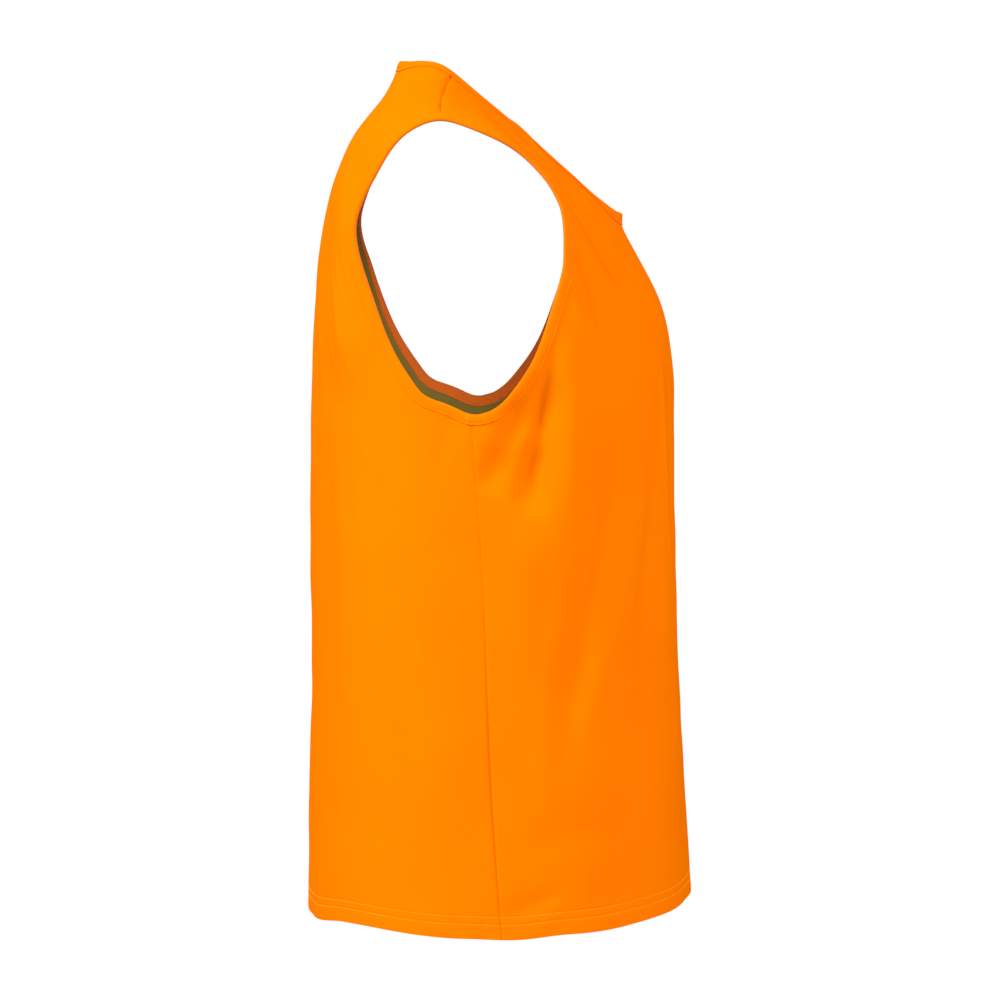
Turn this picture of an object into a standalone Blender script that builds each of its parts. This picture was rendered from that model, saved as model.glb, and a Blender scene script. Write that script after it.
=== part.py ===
"""Reversible training bib: a sleeveless vest of two cloth layers, filled out as if worn.

The outer and inner layers each have a front and a back, joined at the sides and
shoulders. One binding wraps the neck edge of both layers and one wraps each armhole.

Metres, +Z up. The wearer faces -Y and the wearer's right is at -X. The origin lies
between the shoulder seams, where the wearer's shoulders hold the bib up.

A place on the cloth is a turn and a run. The turn goes round the body, from 0 at the
centre front, through a quarter turn at the side seam and shoulder seam, to half a turn
at the centre back, with the wearer's left positive. The run goes from 0 at the hem to
1 at the neck edge.
"""

import functools
import math

import bmesh
import bpy
import numpy as np

COLLECTION_NAME = "reversible_training_bib"
MM = 0.001
SIDE_TURN = math.pi / 2
BACK_TURN = math.pi

# Cloth, in millimetres.
OUTER_WALL = 1.0
INNER_WALL = 1.0
LAYER_GAP = 0.4
BINDING_WALL = 1.0
SEAM_GAP = 0.3
BINDING_WIDTH = 10.0
EDGE_SETBACK = BINDING_WALL + 2 * SEAM_GAP
STACK = OUTER_WALL + LAYER_GAP + INNER_WALL

# The turned hem doubles the outer wall, and the inner layer ends just above it.
HEM_RUN = 0.0207
HEM_STEP_RUN = 0.0216
INNER_HEM_RUN = 0.0285

# The rings that the cloth hangs in, from hem to neck edge, in millimetres: the centre
# front, side and centre back of each, how square its front and back are (2 is an
# ellipse), how softly it bends over the ridge of the shoulder, how far its front dips
# beside the centre, and how far it arches up over the front of each armhole.
RING_COLUMNS = (
    "run", "front_y", "front_z", "side_x", "side_y", "side_z", "back_y", "back_z",
    "front_square", "back_square", "softness", "scoop", "arch",
)
RINGS = (
    (0.00, -212.0, -691, 212, -49, -710, 121.0, -706, 2.50, 2.40, 150, 0, 0),
    (0.16, -203.5, -556, 208, -39, -569, 119.0, -565, 2.40, 2.40, 150, 0, 0),
    (0.33, -198.5, -403, 202, -33, -415, 118.3, -412, 2.30, 2.40, 150, 0, 0),
    (0.49, -196.0, -258, 192, -22.5, -269, 117.5, -262, 2.25, 2.50, 120, 0, 0),
    (0.56, -190.5, -202, 188, -17.5, -205, 114.5, -188, 2.30, 2.70, 90, 0, 0),
    (0.65, -171.0, -152, 192, -12, -136, 107.5, -117, 2.25, 2.90, 75, 0, 0),
    (0.75, -159.0, -129, 200, -6, -74, 94.0, -66, 2.20, 2.90, 65, 0, 2),
    (0.84, -154.0, -119, 184, 2, -21, 76.2, -30, 2.20, 2.70, 60, 1, 4.5),
    (0.92, -151.5, -111, 142, 1, 1, 53.6, 0, 2.25, 2.50, 28, 3, 4),
    (1.00, -152.0, -103, 95, -6, 18.4, 40.6, 29, 2.40, 2.40, 7, 5, 0),
)
RIDGE_BEHIND_SEAM = 10.0
SCOOP_TURN = 28.0
SCOOP_HALF_TURN = 28.0
ARCH_TURN = 66.0
ARCH_HALF_TURN = 24.0

# The armhole edge as seen from the side, from underarm to shoulder, as y and z in
# millimetres, and how far in turn its sides lie from the side seam at first guess.
UNDERARM_RUN = 0.49
SHOULDER_RUN = 0.84
ARMHOLE_GUESS_TURN = math.radians(25)
ARMHOLE_FRONT = (
    (-43, -264), (-60, -247), (-71, -231), (-81, -210), (-92, -177), (-98, -157),
    (-101, -135), (-101, -108), (-97, -89), (-87, -72), (-71, -54), (-46, -38),
    (-20, -26.5),
)
ARMHOLE_BACK = (
    (-10, -264), (4, -258.5), (17, -253), (26, -243), (37, -227), (47, -209),
    (60, -173), (70, -135), (72, -110), (68, -89), (61, -72), (52, -55), (39, -38),
    (23, -27),
)

# The largest folds: each runs between a low and a high place, given by turn in degrees
# and height in millimetres, with its sideways bow, half width and lift off the form.
FOLD_COLUMNS = ("low_turn", "low_z", "high_turn", "high_z", "bow", "half_width", "lift")
FOLDS = (
    (-78, -335, -72, -225, 0, 17, -4.5),
    (-74, -470, -68, -170, 0, 26, 2.5),
    (-75, -600, -53, -250, -11, 30, -5.0),
    (-30, -640, -24, -330, 8, 42, 3.0),
    (76, -350, 71, -230, 4, 19, -4.0),
    (70, -520, 66, -190, -5, 30, 3.0),
    (71, -640, 50, -300, 10, 32, -4.5),
    (22, -560, 27, -270, -6, 46, 2.5),
    (-118, -640, -124, -300, 6, 40, 2.0),
    (-150, -600, -142, -240, 5, 44, -2.5),
    (126, -620, 119, -330, -6, 38, 2.5),
    (156, -560, 149, -200, 4, 46, -2.0),
)
FOLD_RADIUS = 190.0
FOLD_END = 0.3

# How the hem hangs lower, or higher where negative, with turns in degrees.
HEM_WAVE_COLUMNS = ("turn", "half_turn", "drop")
HEM_WAVES = (
    (-48, 34, 3.2), (-126, 32, -5.0), (-68, 18, 2.2), (-86, 12, 2.4), (-146, 14, 1.5),
    (52, 32, 3.5), (131, 30, -3.5), (70, 20, 2.0),
)
HEM_WAVE_RUN = 0.2

# How finely the cloth is faceted.
HALF_COLUMNS = 10
HEM_ROWS = 2
SIDE_ROWS = 4
ARMHOLE_ROWS = 12
SHOULDER_ROWS = 3
NECK_ROW = 26.0
CURVE_SAMPLES = 48
RELAX_ROUNDS = 30
SHARP_ANGLE = math.radians(50)

# How places are sought on the form.
SLOPE_STEP = 1e-4
SETTLE_ROUNDS = 12
LONGEST_TURN_STEP = 0.1
LONGEST_RUN_STEP = 0.05
NECK_GUESS_RUN = 0.97
LAP = 4

ORANGE = (1.0, 0.262, 0.0, 1.0)
OLIVE = (0.15, 0.125, 0.025, 1.0)
CLOTH_ROUGHNESS = 0.75


def columns(names, rows):
    """Return a table's columns by name."""
    return dict(zip(names, np.array(rows, dtype=float).T))


def natural_spline(knots, values, at):
    """Return the natural cubic through values at the knots, read at other places."""
    count = len(knots)
    step = np.diff(knots)
    matrix = np.eye(count)
    target = np.zeros_like(values)
    for i in range(1, count - 1):
        matrix[i, i - 1:i + 2] = step[i - 1], 2 * (step[i - 1] + step[i]), step[i]
        rise = (values[i + 1] - values[i]) / step[i]
        target[i] = 6 * (rise - (values[i] - values[i - 1]) / step[i - 1])
    bend = np.linalg.solve(matrix, target)
    span = np.clip(np.searchsorted(knots, at, side="right") - 1, 0, count - 2)
    low = ((knots[span + 1] - at) / step[span])[..., None]
    high = 1 - low
    square = step[span][..., None] ** 2 / 6
    line = low * values[span] + high * values[span + 1]
    curve = (low ** 3 - low) * bend[span] + (high ** 3 - high) * bend[span + 1]
    return line + curve * square


RING = columns(RING_COLUMNS, RINGS)
RING_VALUES = np.array(RINGS, dtype=float)[:, 1:]


def smooth_step(share):
    """Return a share of 0 to 1 with its ends eased."""
    share = np.clip(share, 0, 1)
    return share * share * (3 - 2 * share)


def hump(turn, middle, half_width):
    """Return a smooth hump in a turn in degrees, 1 at its middle and 0 past its sides."""
    aside = np.clip(np.abs(turn - middle) / half_width, 0, 1)
    return np.cos(aside * math.pi / 2) ** 2


def hem_drop(turn, run):
    """Return how far the hem's waves lower the cloth."""
    wave = columns(HEM_WAVE_COLUMNS, HEM_WAVES)
    away = (np.degrees(turn)[..., None] - wave["turn"] + 180) % 360 - 180
    drop = (wave["drop"] * hump(away, 0.0, wave["half_turn"])).sum(-1)
    return drop * np.clip(1 - run / HEM_WAVE_RUN, 0, 1) ** 2


def form(turn, run):
    """Return points of the smooth form, without folds, in millimetres."""
    turn, run = np.broadcast_arrays(np.asarray(turn, float), np.asarray(run, float))
    values = natural_spline(RING["run"], RING_VALUES, run)
    ring = dict(zip(RING_COLUMNS[1:], np.moveaxis(values, -1, 0)))
    front = ring["front_y"] - ring["side_y"]
    back = ring["back_y"] - ring["side_y"]
    reach = np.where(np.cos(turn) >= 0, -front, back)
    square = np.where(np.cos(turn) >= 0, ring["front_square"], ring["back_square"])
    across = np.abs(np.sin(turn)) / ring["side_x"]
    along = np.abs(np.cos(turn)) / reach
    radius = (across ** square + along ** square) ** (-1 / square)
    x = radius * np.sin(turn)
    y = -radius * np.cos(turn)

    def ridge(place):
        over = np.hypot(place - RIDGE_BEHIND_SEAM, ring["softness"])
        return over - np.hypot(RIDGE_BEHIND_SEAM, ring["softness"])

    front_rise = ring["front_z"] - ring["side_z"]
    back_rise = ring["back_z"] - ring["side_z"]
    spread = front * ridge(back) - back * ridge(front)
    slope = (front_rise * ridge(back) - back_rise * ridge(front)) / spread
    fall = (front * back_rise - back * front_rise) / spread
    off_front = np.degrees(np.abs((turn + math.pi) % (2 * math.pi) - math.pi))
    dip = ring["scoop"] * hump(off_front, SCOOP_TURN, SCOOP_HALF_TURN)
    rise = ring["arch"] * hump(off_front, ARCH_TURN, ARCH_HALF_TURN)
    z = ring["side_z"] + slope * y + fall * ridge(y) + rise - dip
    return np.stack([x, ring["side_y"] + y, z - hem_drop(turn, run)], -1)


def slopes(turn, run):
    """Return how the form moves for each radian of turn and each unit of run."""
    by_turn = form(turn + SLOPE_STEP, run) - form(turn - SLOPE_STEP, run)
    high = np.minimum(run + SLOPE_STEP, 1.0)
    low = np.maximum(run - SLOPE_STEP, 0.0)
    by_run = (form(turn, high) - form(turn, low)) / (high - low)[..., None]
    return by_turn / (2 * SLOPE_STEP), by_run


def normals(turn, run):
    """Return the form's outward normals."""
    outward = np.cross(*slopes(turn, run))
    return outward / np.linalg.norm(outward, axis=-1, keepdims=True)


def fold_lift(turn, up):
    """Return how far the folds lift the cloth off the form at a turn and height."""
    fold = columns(FOLD_COLUMNS, FOLDS)
    turn = (turn + math.pi) % (2 * math.pi) - math.pi
    start = np.radians(fold["low_turn"]) * FOLD_RADIUS
    run_x = np.radians(fold["high_turn"]) * FOLD_RADIUS - start
    run_z = fold["high_z"] - fold["low_z"]
    length = np.hypot(run_x, run_z)
    x = (turn * FOLD_RADIUS)[..., None] - start
    z = up[..., None] - fold["low_z"]
    share = (x * run_x + z * run_z) / length ** 2
    bowed = fold["bow"] * 4 * share * (1 - share)
    aside = (x * run_z - z * run_x) / length - bowed
    ends = smooth_step(share / FOLD_END) * smooth_step((1 - share) / FOLD_END)
    return (fold["lift"] * ends * np.exp(-(aside / fold["half_width"]) ** 2)).sum(-1)


def cloth(turn, run, depth=0.0):
    """Return points of the folded cloth at a depth below its outer face."""
    turn, run = np.broadcast_arrays(np.asarray(turn, float), np.asarray(run, float))
    base = form(turn, run)
    lift = fold_lift(turn, base[..., 2]) - depth
    return base + normals(turn, run) * lift[..., None]


def settle(target, turn, run, axes=(0, 1, 2), rounds=SETTLE_ROUNDS):
    """Return the turn and run whose point on the form is nearest to each target."""
    turn = np.array(turn, dtype=float)
    run = np.array(run, dtype=float)
    axes = list(axes)
    for _ in range(rounds):
        miss = (target - form(turn, run))[..., axes]
        by_turn, by_run = (slope[..., axes] for slope in slopes(turn, run))
        tt = (by_turn * by_turn).sum(-1)
        tr = (by_turn * by_run).sum(-1)
        rr = (by_run * by_run).sum(-1)
        turn_miss = (by_turn * miss).sum(-1)
        run_miss = (by_run * miss).sum(-1)
        spread = tt * rr - tr * tr
        turn_step = (rr * turn_miss - tr * run_miss) / spread
        run_step = (tt * run_miss - tr * turn_miss) / spread
        turn += np.clip(turn_step, -LONGEST_TURN_STEP, LONGEST_TURN_STEP)
        run += np.clip(run_step, -LONGEST_RUN_STEP, LONGEST_RUN_STEP)
        run = np.clip(run, 0.0, 1.0)
    return turn, run


def armhole_loop():
    """Return the left armhole edge as turns and runs, up the front and down the back."""
    underarm, shoulder = form(SIDE_TURN, np.array([UNDERARM_RUN, SHOULDER_RUN]))[:, 1:]
    front = np.array(ARMHOLE_FRONT, dtype=float)
    back = np.array(ARMHOLE_BACK, dtype=float)[::-1]
    outline = np.vstack([underarm, front, shoulder, back])
    lapped = np.vstack([outline[-LAP:], outline, outline[:LAP]])
    length = np.cumsum(np.r_[0, np.hypot(*np.diff(lapped, axis=0).T)])
    starts = length[LAP], length[LAP + len(front) + 1], length[LAP + len(outline)]
    places = np.concatenate([
        np.linspace(starts[0], starts[1], CURVE_SAMPLES, endpoint=False),
        np.linspace(starts[1], starts[2], CURVE_SAMPLES, endpoint=False),
    ])
    side_view = natural_spline(length, lapped, places)
    target = np.column_stack([np.zeros(len(places)), side_view])
    ahead = np.arange(len(places)) < CURVE_SAMPLES
    guess = SIDE_TURN + np.where(ahead, -1, 1) * ARMHOLE_GUESS_TURN
    guess[[0, CURVE_SAMPLES]] = SIDE_TURN
    heights = np.interp(side_view[:, 1], [underarm[1], shoulder[1]],
                        [UNDERARM_RUN, SHOULDER_RUN])
    return settle(target, guess, heights, axes=(1, 2))


def inset_loop(turn, run, distance):
    """Return a closed loop of places moved into the cloth around an armhole."""
    edge = form(turn, run)
    along = np.roll(edge, -1, axis=0) - np.roll(edge, 1, axis=0)
    inward = np.cross(normals(turn, run), along)
    inward /= np.linalg.norm(inward, axis=-1, keepdims=True)
    centre = edge.mean(0)
    inward *= np.sign(((edge - centre) * inward).sum())
    return settle(edge + inward * distance, turn, run)


ARMHOLE = armhole_loop()


def armhole_line(half, distance):
    """Return an inset armhole line from underarm to shoulder, as turns and runs."""
    turn, run = inset_loop(*ARMHOLE, distance)
    if half == "front":
        picked = np.arange(CURVE_SAMPLES + 1)
    else:
        picked = np.arange(2 * CURVE_SAMPLES, CURVE_SAMPLES - 1, -1) % len(turn)
    turn, run = turn[picked], run[picked]
    turn[[0, -1]] = SIDE_TURN
    edge = form(ARMHOLE[0][picked], ARMHOLE[1][picked])
    length = np.cumsum(np.r_[0, np.linalg.norm(np.diff(edge, axis=0), axis=1)])
    places = np.linspace(0, length[-1], ARMHOLE_ROWS + 1)
    return np.interp(places, length, turn), np.interp(places, length, run)


def neck_run(turn, distance):
    """Return the run of the line a distance below the neck edge."""
    turn = np.asarray(turn, float)
    edge = form(turn, np.ones_like(turn))
    run = np.full_like(turn, NECK_GUESS_RUN)
    for _ in range(SETTLE_ROUNDS):
        away = np.linalg.norm(form(turn, run) - edge, axis=-1)
        run = 1 - (1 - run) * distance / away
    return run


def seam_turn(half, run):
    """Return the turn of a panel's edge at a side or shoulder seam."""
    ahead = -1 if half == "front" else 1
    by_turn = slopes(np.full_like(run, SIDE_TURN), run)[0]
    return SIDE_TURN + ahead * SEAM_GAP / 2 / np.linalg.norm(by_turn, axis=-1)


def spread_runs(turn, low, high, beside):
    """Return runs on one turn line from low to high, spaced as the points beside are."""
    fine = np.linspace(low, high, CURVE_SAMPLES)
    line = form(turn, fine)
    height = np.cumsum(np.r_[0, np.linalg.norm(np.diff(line, axis=0), axis=1)])
    share = np.cumsum(np.r_[0, np.linalg.norm(np.diff(beside, axis=0), axis=1)])
    return np.interp(share / share[-1] * height[-1], height, fine)


def relaxed(turn, run):
    """Return a grid's places with those between its hem, ends and neck spread evenly."""
    rows = slice(HEM_ROWS + 2, -2)
    below = slice(HEM_ROWS + 1, -3)
    above = slice(HEM_ROWS + 3, -1)
    centre = turn[0, 0]
    for _ in range(RELAX_ROUNDS):
        points = form(turn, run)
        mirrored = points[:, 1:2] * (-1, 1, 1)
        near = np.concatenate([mirrored, points[:, :-2]], axis=1)[rows]
        far = points[rows, 1:]
        middle = (near + far + points[below, :-1] + points[above, :-1]) / 4
        places = settle(middle, turn[rows, :-1], run[rows, :-1], rounds=1)
        turn[rows, :-1], run[rows, :-1] = places
        turn[:, 0] = centre
    return turn, run


def half_panel(half):
    """Return a left half panel's places: its grid, and its strip along the armhole.

    The grid's rows start on the centre line. They end on the side seam, then on the
    inner line of the armhole binding, then on the shoulder seam.
    """
    inner_turn, inner_run = armhole_line(half, BINDING_WIDTH)
    edge_turn, edge_run = armhole_line(half, EDGE_SETBACK)
    side = np.linspace(INNER_HEM_RUN, inner_run[0], SIDE_ROWS + 1)[:-1]
    neck_rows = neck_run(np.full(2, SIDE_TURN), np.array([NECK_ROW, BINDING_WIDTH]))
    shoulder = np.linspace(inner_run[-1], neck_rows[0], SHOULDER_ROWS)[1:]
    shoulder = np.append(shoulder, neck_rows[1])
    hem = [0.0, HEM_RUN, HEM_STEP_RUN]
    end_run = np.concatenate([hem, side, inner_run, shoulder])
    end_turn = seam_turn(half, end_run)
    first = len(hem) + SIDE_ROWS
    end_turn[first + 1:first + ARMHOLE_ROWS] = inner_turn[1:-1]
    edge_turn[[0, -1]] = seam_turn(half, edge_run[[0, -1]])

    centre_turn = 0.0 if half == "front" else BACK_TURN
    centre_top = neck_run(np.array([centre_turn]), NECK_ROW)[0]
    spread = slice(len(hem), -1)
    centre_run = end_run.copy()
    centre_run[spread] = spread_runs(centre_turn, INNER_HEM_RUN, centre_top,
                                     form(end_turn, end_run)[spread])
    across = np.linspace(0, 1, HALF_COLUMNS + 1)
    turn = centre_turn + (end_turn[:, None] - centre_turn) * across
    run = centre_run[:, None] + (end_run - centre_run)[:, None] * across ** 2
    run[-1] = neck_run(turn[-1], BINDING_WIDTH)
    run[-2] = neck_run(turn[-2], NECK_ROW)
    turn, run = relaxed(turn, run)

    top_end = seam_turn(half, neck_run(np.array([SIDE_TURN]), EDGE_SETBACK))[0]
    top_turn = centre_turn + (top_end - centre_turn) * across
    turn = np.vstack([turn, top_turn])
    run = np.vstack([run, neck_run(top_turn, EDGE_SETBACK)])
    return {"turn": turn, "run": run, "strip_turn": edge_turn, "strip_run": edge_run,
            "strip_row": first}


HALVES = {half: half_panel(half) for half in ("front", "back")}


def cloth_material(name, colour):
    """Return a matt cloth material."""
    material = bpy.data.materials.new(name)
    material.use_nodes = True
    shader = material.node_tree.nodes["Principled BSDF"]
    shader.inputs["Base Color"].default_value = colour
    shader.inputs["Roughness"].default_value = CLOTH_ROUGHNESS
    shader.inputs["Metallic"].default_value = 0.0
    return material


def add_object(name, mesh, colour, collection):
    """Add a mesh as a named sub-part with its own material."""
    mesh.materials.append(cloth_material(name, colour))
    mesh.shade_smooth()
    mesh.set_sharp_from_angle(angle=SHARP_ANGLE)
    part = bpy.data.objects.new(name, mesh)
    collection.objects.link(part)
    return part


def closed_mesh(name, points, faces):
    """Return a mesh of points in millimetres and faces that point out."""
    builder = bmesh.new()
    corners = [builder.verts.new(point * MM) for point in points]
    for face in faces:
        builder.faces.new([corners[i] for i in face])
    mesh = bpy.data.meshes.new(name)
    builder.to_mesh(mesh)
    builder.free()
    return mesh


def split(near_low, far_low, far_high, near_high, rising=True):
    """Return a four-sided facet as two, split from its near low to its far high corner
    where rising, and from its far low to its near high corner where not.
    """
    if rising:
        return [(near_low, far_low, far_high), (near_low, far_high, near_high)]
    return [(near_low, far_low, near_high), (far_low, far_high, near_high)]


def short_splits(half):
    """Return which of a half panel's grid facets are split more shortly when rising."""
    places = HALVES[half]
    points = form(places["turn"], places["run"])
    rising = np.linalg.norm(points[1:, 1:] - points[:-1, :-1], axis=-1)
    falling = np.linalg.norm(points[:-1, 1:] - points[1:, :-1], axis=-1)
    short = rising <= falling
    short[-1] = True
    return short


def skin_faces(half, row_count):
    """Return the facets of one skin of a panel, in outward order.

    The skin's points are its rows, from the wearer's right to left, then the left and
    the right strip along the armholes.
    """
    width = 2 * HALF_COLUMNS + 1
    rising = short_splits(half)[1 - row_count:]
    faces = []
    for row in range(row_count - 1):
        low = row * width + HALF_COLUMNS
        high = low + width
        for near in range(HALF_COLUMNS):
            far = near + 1
            left = low + near, low + far, high + far, high + near
            right = low - near, low - far, high - far, high - near
            faces += split(*left, rising[row, near])
            faces += [face[::-1] for face in split(*right, rising[row, near])]
    strip_row = row_count - 1 - SHOULDER_ROWS - 1 - ARMHOLE_ROWS
    left_edge = row_count * width
    right_edge = left_edge + ARMHOLE_ROWS + 1
    for i in range(ARMHOLE_ROWS):
        left_line = (strip_row + i) * width + width - 1
        faces += split(left_line, left_edge + i, left_edge + i + 1, left_line + width)
        right_line = (strip_row + i) * width
        pair = split(right_line, right_edge + i, right_edge + i + 1, right_line + width)
        faces += [face[::-1] for face in pair]
    if half == "back":
        faces = [face[::-1] for face in faces]
    return faces


def skin_points(half, depth, first_row):
    """Return the points of one skin of a panel; the depth may vary by row."""
    places = HALVES[half]
    turn = places["turn"][first_row:]
    run = places["run"][first_row:]
    depth = np.broadcast_to(depth, len(places["turn"]))[first_row:]
    left = cloth(turn, run, depth[:, None])
    right = cloth(-turn, run, depth[:, None])
    grid = np.concatenate([right[:, :0:-1], left], axis=1)
    left_strip = cloth(places["strip_turn"], places["strip_run"], depth[-1])
    right_strip = cloth(-places["strip_turn"], places["strip_run"], depth[-1])
    return np.vstack([grid.reshape(-1, 3), left_strip, right_strip]), len(grid)


def add_panel(name, half, top, wall, first_row, colour, collection):
    """Add a front or back panel as a wall of cloth below a depth, doubled at its hem."""
    bottom = np.full(len(HALVES[half]["turn"]), top + wall)
    bottom[:HEM_ROWS] += wall
    outer, row_count = skin_points(half, top, first_row)
    inner, _ = skin_points(half, bottom, first_row)
    faces = skin_faces(half, row_count)
    edges = {pair for face in faces for pair in zip(face, face[1:] + face[:1])}
    rim = [(b, a) for a, b in edges if (b, a) not in edges]
    count = len(outer)
    solid = list(faces)
    solid += [tuple(i + count for i in reversed(face)) for face in faces]
    solid += [(a, b, b + count, a + count) for a, b in sorted(rim)]
    mesh = closed_mesh(name, np.vstack([outer, inner]), solid)
    return add_object(name, mesh, colour, collection)


def add_binding(name, loop, colour, collection):
    """Add a binding that wraps an edge of both layers.

    The loop gives closed rings of cloth points by distance from the edge and by depth,
    and says for each stretch whether it leads away from the panel's near end.
    """
    outside = -SEAM_GAP - BINDING_WALL
    inside = STACK + SEAM_GAP + BINDING_WALL
    corner = BINDING_WALL
    lining = EDGE_SETBACK - SEAM_GAP
    section = (
        (BINDING_WIDTH, -SEAM_GAP),
        (BINDING_WIDTH, outside),
        (corner / 2, outside),
        (0.0, outside + corner),
        (0.0, inside - corner),
        (corner / 2, inside),
        (BINDING_WIDTH, inside),
        (BINDING_WIDTH, STACK + SEAM_GAP),
        (lining, STACK + SEAM_GAP),
        (lining, -SEAM_GAP),
    )
    rings = []
    for distance, depth in section:
        points, leads_away = loop(distance, depth)
        rings.append(points)
    count = len(leads_away)
    faces = []
    for k in range(len(section)):
        after = (k + 1) % len(section)
        ring = k * count
        following = after * count
        from_edge = section[after][0] > section[k][0]
        for i in range(count):
            j = (i + 1) % count
            corners = (ring + i, ring + j, following + j, following + i)
            if leads_away[i] != from_edge:
                faces += split(*corners)
            else:
                faces += split(*(corners[1:] + corners[:1]))
    mesh = closed_mesh(name, np.vstack(rings), faces)
    return add_object(name, mesh, colour, collection)


def armhole_loop_points(side, distance, depth):
    """Return a closed ring of cloth points around one armhole."""
    front_turn, front_run = armhole_line("front", distance)
    back_turn, back_run = armhole_line("back", distance)
    turn = np.concatenate([front_turn, back_turn[-2:0:-1]])
    run = np.concatenate([front_run, back_run[-2:0:-1]])
    rising = np.arange(len(turn)) < ARMHOLE_ROWS
    points = cloth(side * turn, run, depth)
    if side > 0:
        return points[::-1], np.roll(~rising[::-1], -1)
    return points, rising


def neck_loop_points(distance, depth):
    """Return a closed ring of cloth points around the neck."""
    front = HALVES["front"]["turn"][-1]
    back = HALVES["back"]["turn"][-1]
    left = np.concatenate([front[:-1], [SIDE_TURN], back[-2::-1]])
    turn = np.concatenate([left, -left[-2:0:-1]])
    run = neck_run(turn, distance) if distance > 0 else np.ones_like(turn)
    quarter = np.arange(len(turn)) // HALF_COLUMNS
    return cloth(turn, run, depth), quarter % 2 == 0


def main():
    """Build the bib's sub-parts in a collection of their own."""
    for thing in list(bpy.data.objects):
        bpy.data.objects.remove(thing, do_unlink=True)
    collection = bpy.data.collections.new(COLLECTION_NAME)
    bpy.context.scene.collection.children.link(collection)
    inner_top = OUTER_WALL + LAYER_GAP
    for half in ("front", "back"):
        add_panel("outer_" + half, half, 0.0, OUTER_WALL, 0, ORANGE, collection)
        add_panel("inner_" + half, half, inner_top, INNER_WALL, HEM_ROWS + 1, OLIVE, collection)
    add_binding("neck_binding", neck_loop_points, ORANGE, collection)
    for name, side in (("right", -1), ("left", 1)):
        loop = functools.partial(armhole_loop_points, side)
        add_binding("armhole_binding_" + name, loop, ORANGE, collection)


main()
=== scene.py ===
"""Looks of a reversible training bib: two layers of fine knit, bound at neck and armholes.

Metres, +Z up, the wearer faces -Y and their right is at -X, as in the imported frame. Tables
are in millimetres. A place on the cloth is a turn round the body, from 0 at the centre
front through a quarter turn at the side and shoulder seams to half a turn at the centre
back, and a run, from 0 at the hem to 1 at the neck edge. A depth goes in from the outer
face, along the cloth's normal.
"""

import math

import bpy
import numpy as np
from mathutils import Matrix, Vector


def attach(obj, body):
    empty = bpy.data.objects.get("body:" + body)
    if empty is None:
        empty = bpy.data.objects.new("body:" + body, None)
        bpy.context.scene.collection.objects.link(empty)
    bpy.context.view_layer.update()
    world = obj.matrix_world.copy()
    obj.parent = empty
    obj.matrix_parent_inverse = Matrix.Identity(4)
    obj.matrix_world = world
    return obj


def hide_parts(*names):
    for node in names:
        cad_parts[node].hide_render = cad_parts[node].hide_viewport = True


bl_info = {
    "name": "Reversible training bib",
    "version": (1, 0, 0),
    "blender": (4, 5, 0),
    "location": "3D View > Sidebar > Bib",
    "description": "Cloth, bindings, stitching and studio for a reversible training bib",
    "category": "Add Mesh",
}

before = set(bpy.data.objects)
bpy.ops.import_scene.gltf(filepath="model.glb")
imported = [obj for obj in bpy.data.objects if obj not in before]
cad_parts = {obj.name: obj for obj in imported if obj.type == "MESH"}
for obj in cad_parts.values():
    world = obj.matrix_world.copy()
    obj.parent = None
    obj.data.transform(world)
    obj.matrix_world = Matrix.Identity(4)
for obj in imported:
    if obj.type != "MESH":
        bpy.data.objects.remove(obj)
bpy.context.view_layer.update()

MM = 0.001
SIDE_TURN = math.pi / 2
BACK_TURN = math.pi
FULL_TURN = 2 * math.pi

# The rings that the cloth hangs in, from hem to neck edge: the centre front, side and
# centre back of each, how square its front and back are (2 is an ellipse), how softly it
# bends over the ridge of the shoulder, how far its front dips beside the centre, and how
# far it arches up over the front of each armhole.
RING_COLUMNS = (
    "run", "front_y", "front_z", "side_x", "side_y", "side_z", "back_y", "back_z",
    "front_square", "back_square", "softness", "scoop", "arch",
)
RINGS = (
    (0.00, -212.0, -691, 212, -49, -710, 121.0, -706, 2.50, 2.40, 150, 0, 0),
    (0.16, -203.5, -556, 208, -39, -569, 119.0, -565, 2.40, 2.40, 150, 0, 0),
    (0.33, -198.5, -403, 202, -33, -415, 118.3, -412, 2.30, 2.40, 150, 0, 0),
    (0.49, -196.0, -258, 192, -22.5, -269, 117.5, -262, 2.25, 2.50, 120, 0, 0),
    (0.56, -190.5, -202, 188, -17.5, -205, 114.5, -188, 2.30, 2.70, 90, 0, 0),
    (0.65, -171.0, -152, 192, -12, -136, 107.5, -117, 2.25, 2.90, 75, 0, 0),
    (0.75, -159.0, -129, 200, -6, -74, 94.0, -66, 2.20, 2.90, 65, 0, 2),
    (0.84, -154.0, -119, 184, 2, -21, 76.2, -30, 2.20, 2.70, 60, 1, 4.5),
    (0.92, -151.5, -111, 142, 1, 1, 53.6, 0, 2.25, 2.50, 28, 3, 4),
    (1.00, -152.0, -103, 95, -6, 18.4, 40.6, 29, 2.40, 2.40, 7, 5, 0),
)
RIDGE_BEHIND_SEAM = 10.0
SCOOP_TURN = 28.0
SCOOP_HALF_TURN = 28.0
ARCH_TURN = 66.0
ARCH_HALF_TURN = 24.0

# The armhole edge as seen from the side, from underarm to shoulder.
UNDERARM_RUN = 0.49
SHOULDER_RUN = 0.84
ARMHOLE_FRONT = (
    (-43, -264), (-60, -247), (-71, -231), (-81, -210), (-92, -177), (-98, -157),
    (-101, -135), (-101, -108), (-97, -89), (-87, -72), (-71, -54), (-46, -38),
    (-20, -26.5),
)
ARMHOLE_BACK = (
    (-10, -264), (4, -258.5), (17, -253), (26, -243), (37, -227), (47, -209),
    (60, -173), (70, -135), (72, -110), (68, -89), (61, -72), (52, -55), (39, -38),
    (23, -27),
)

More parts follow.
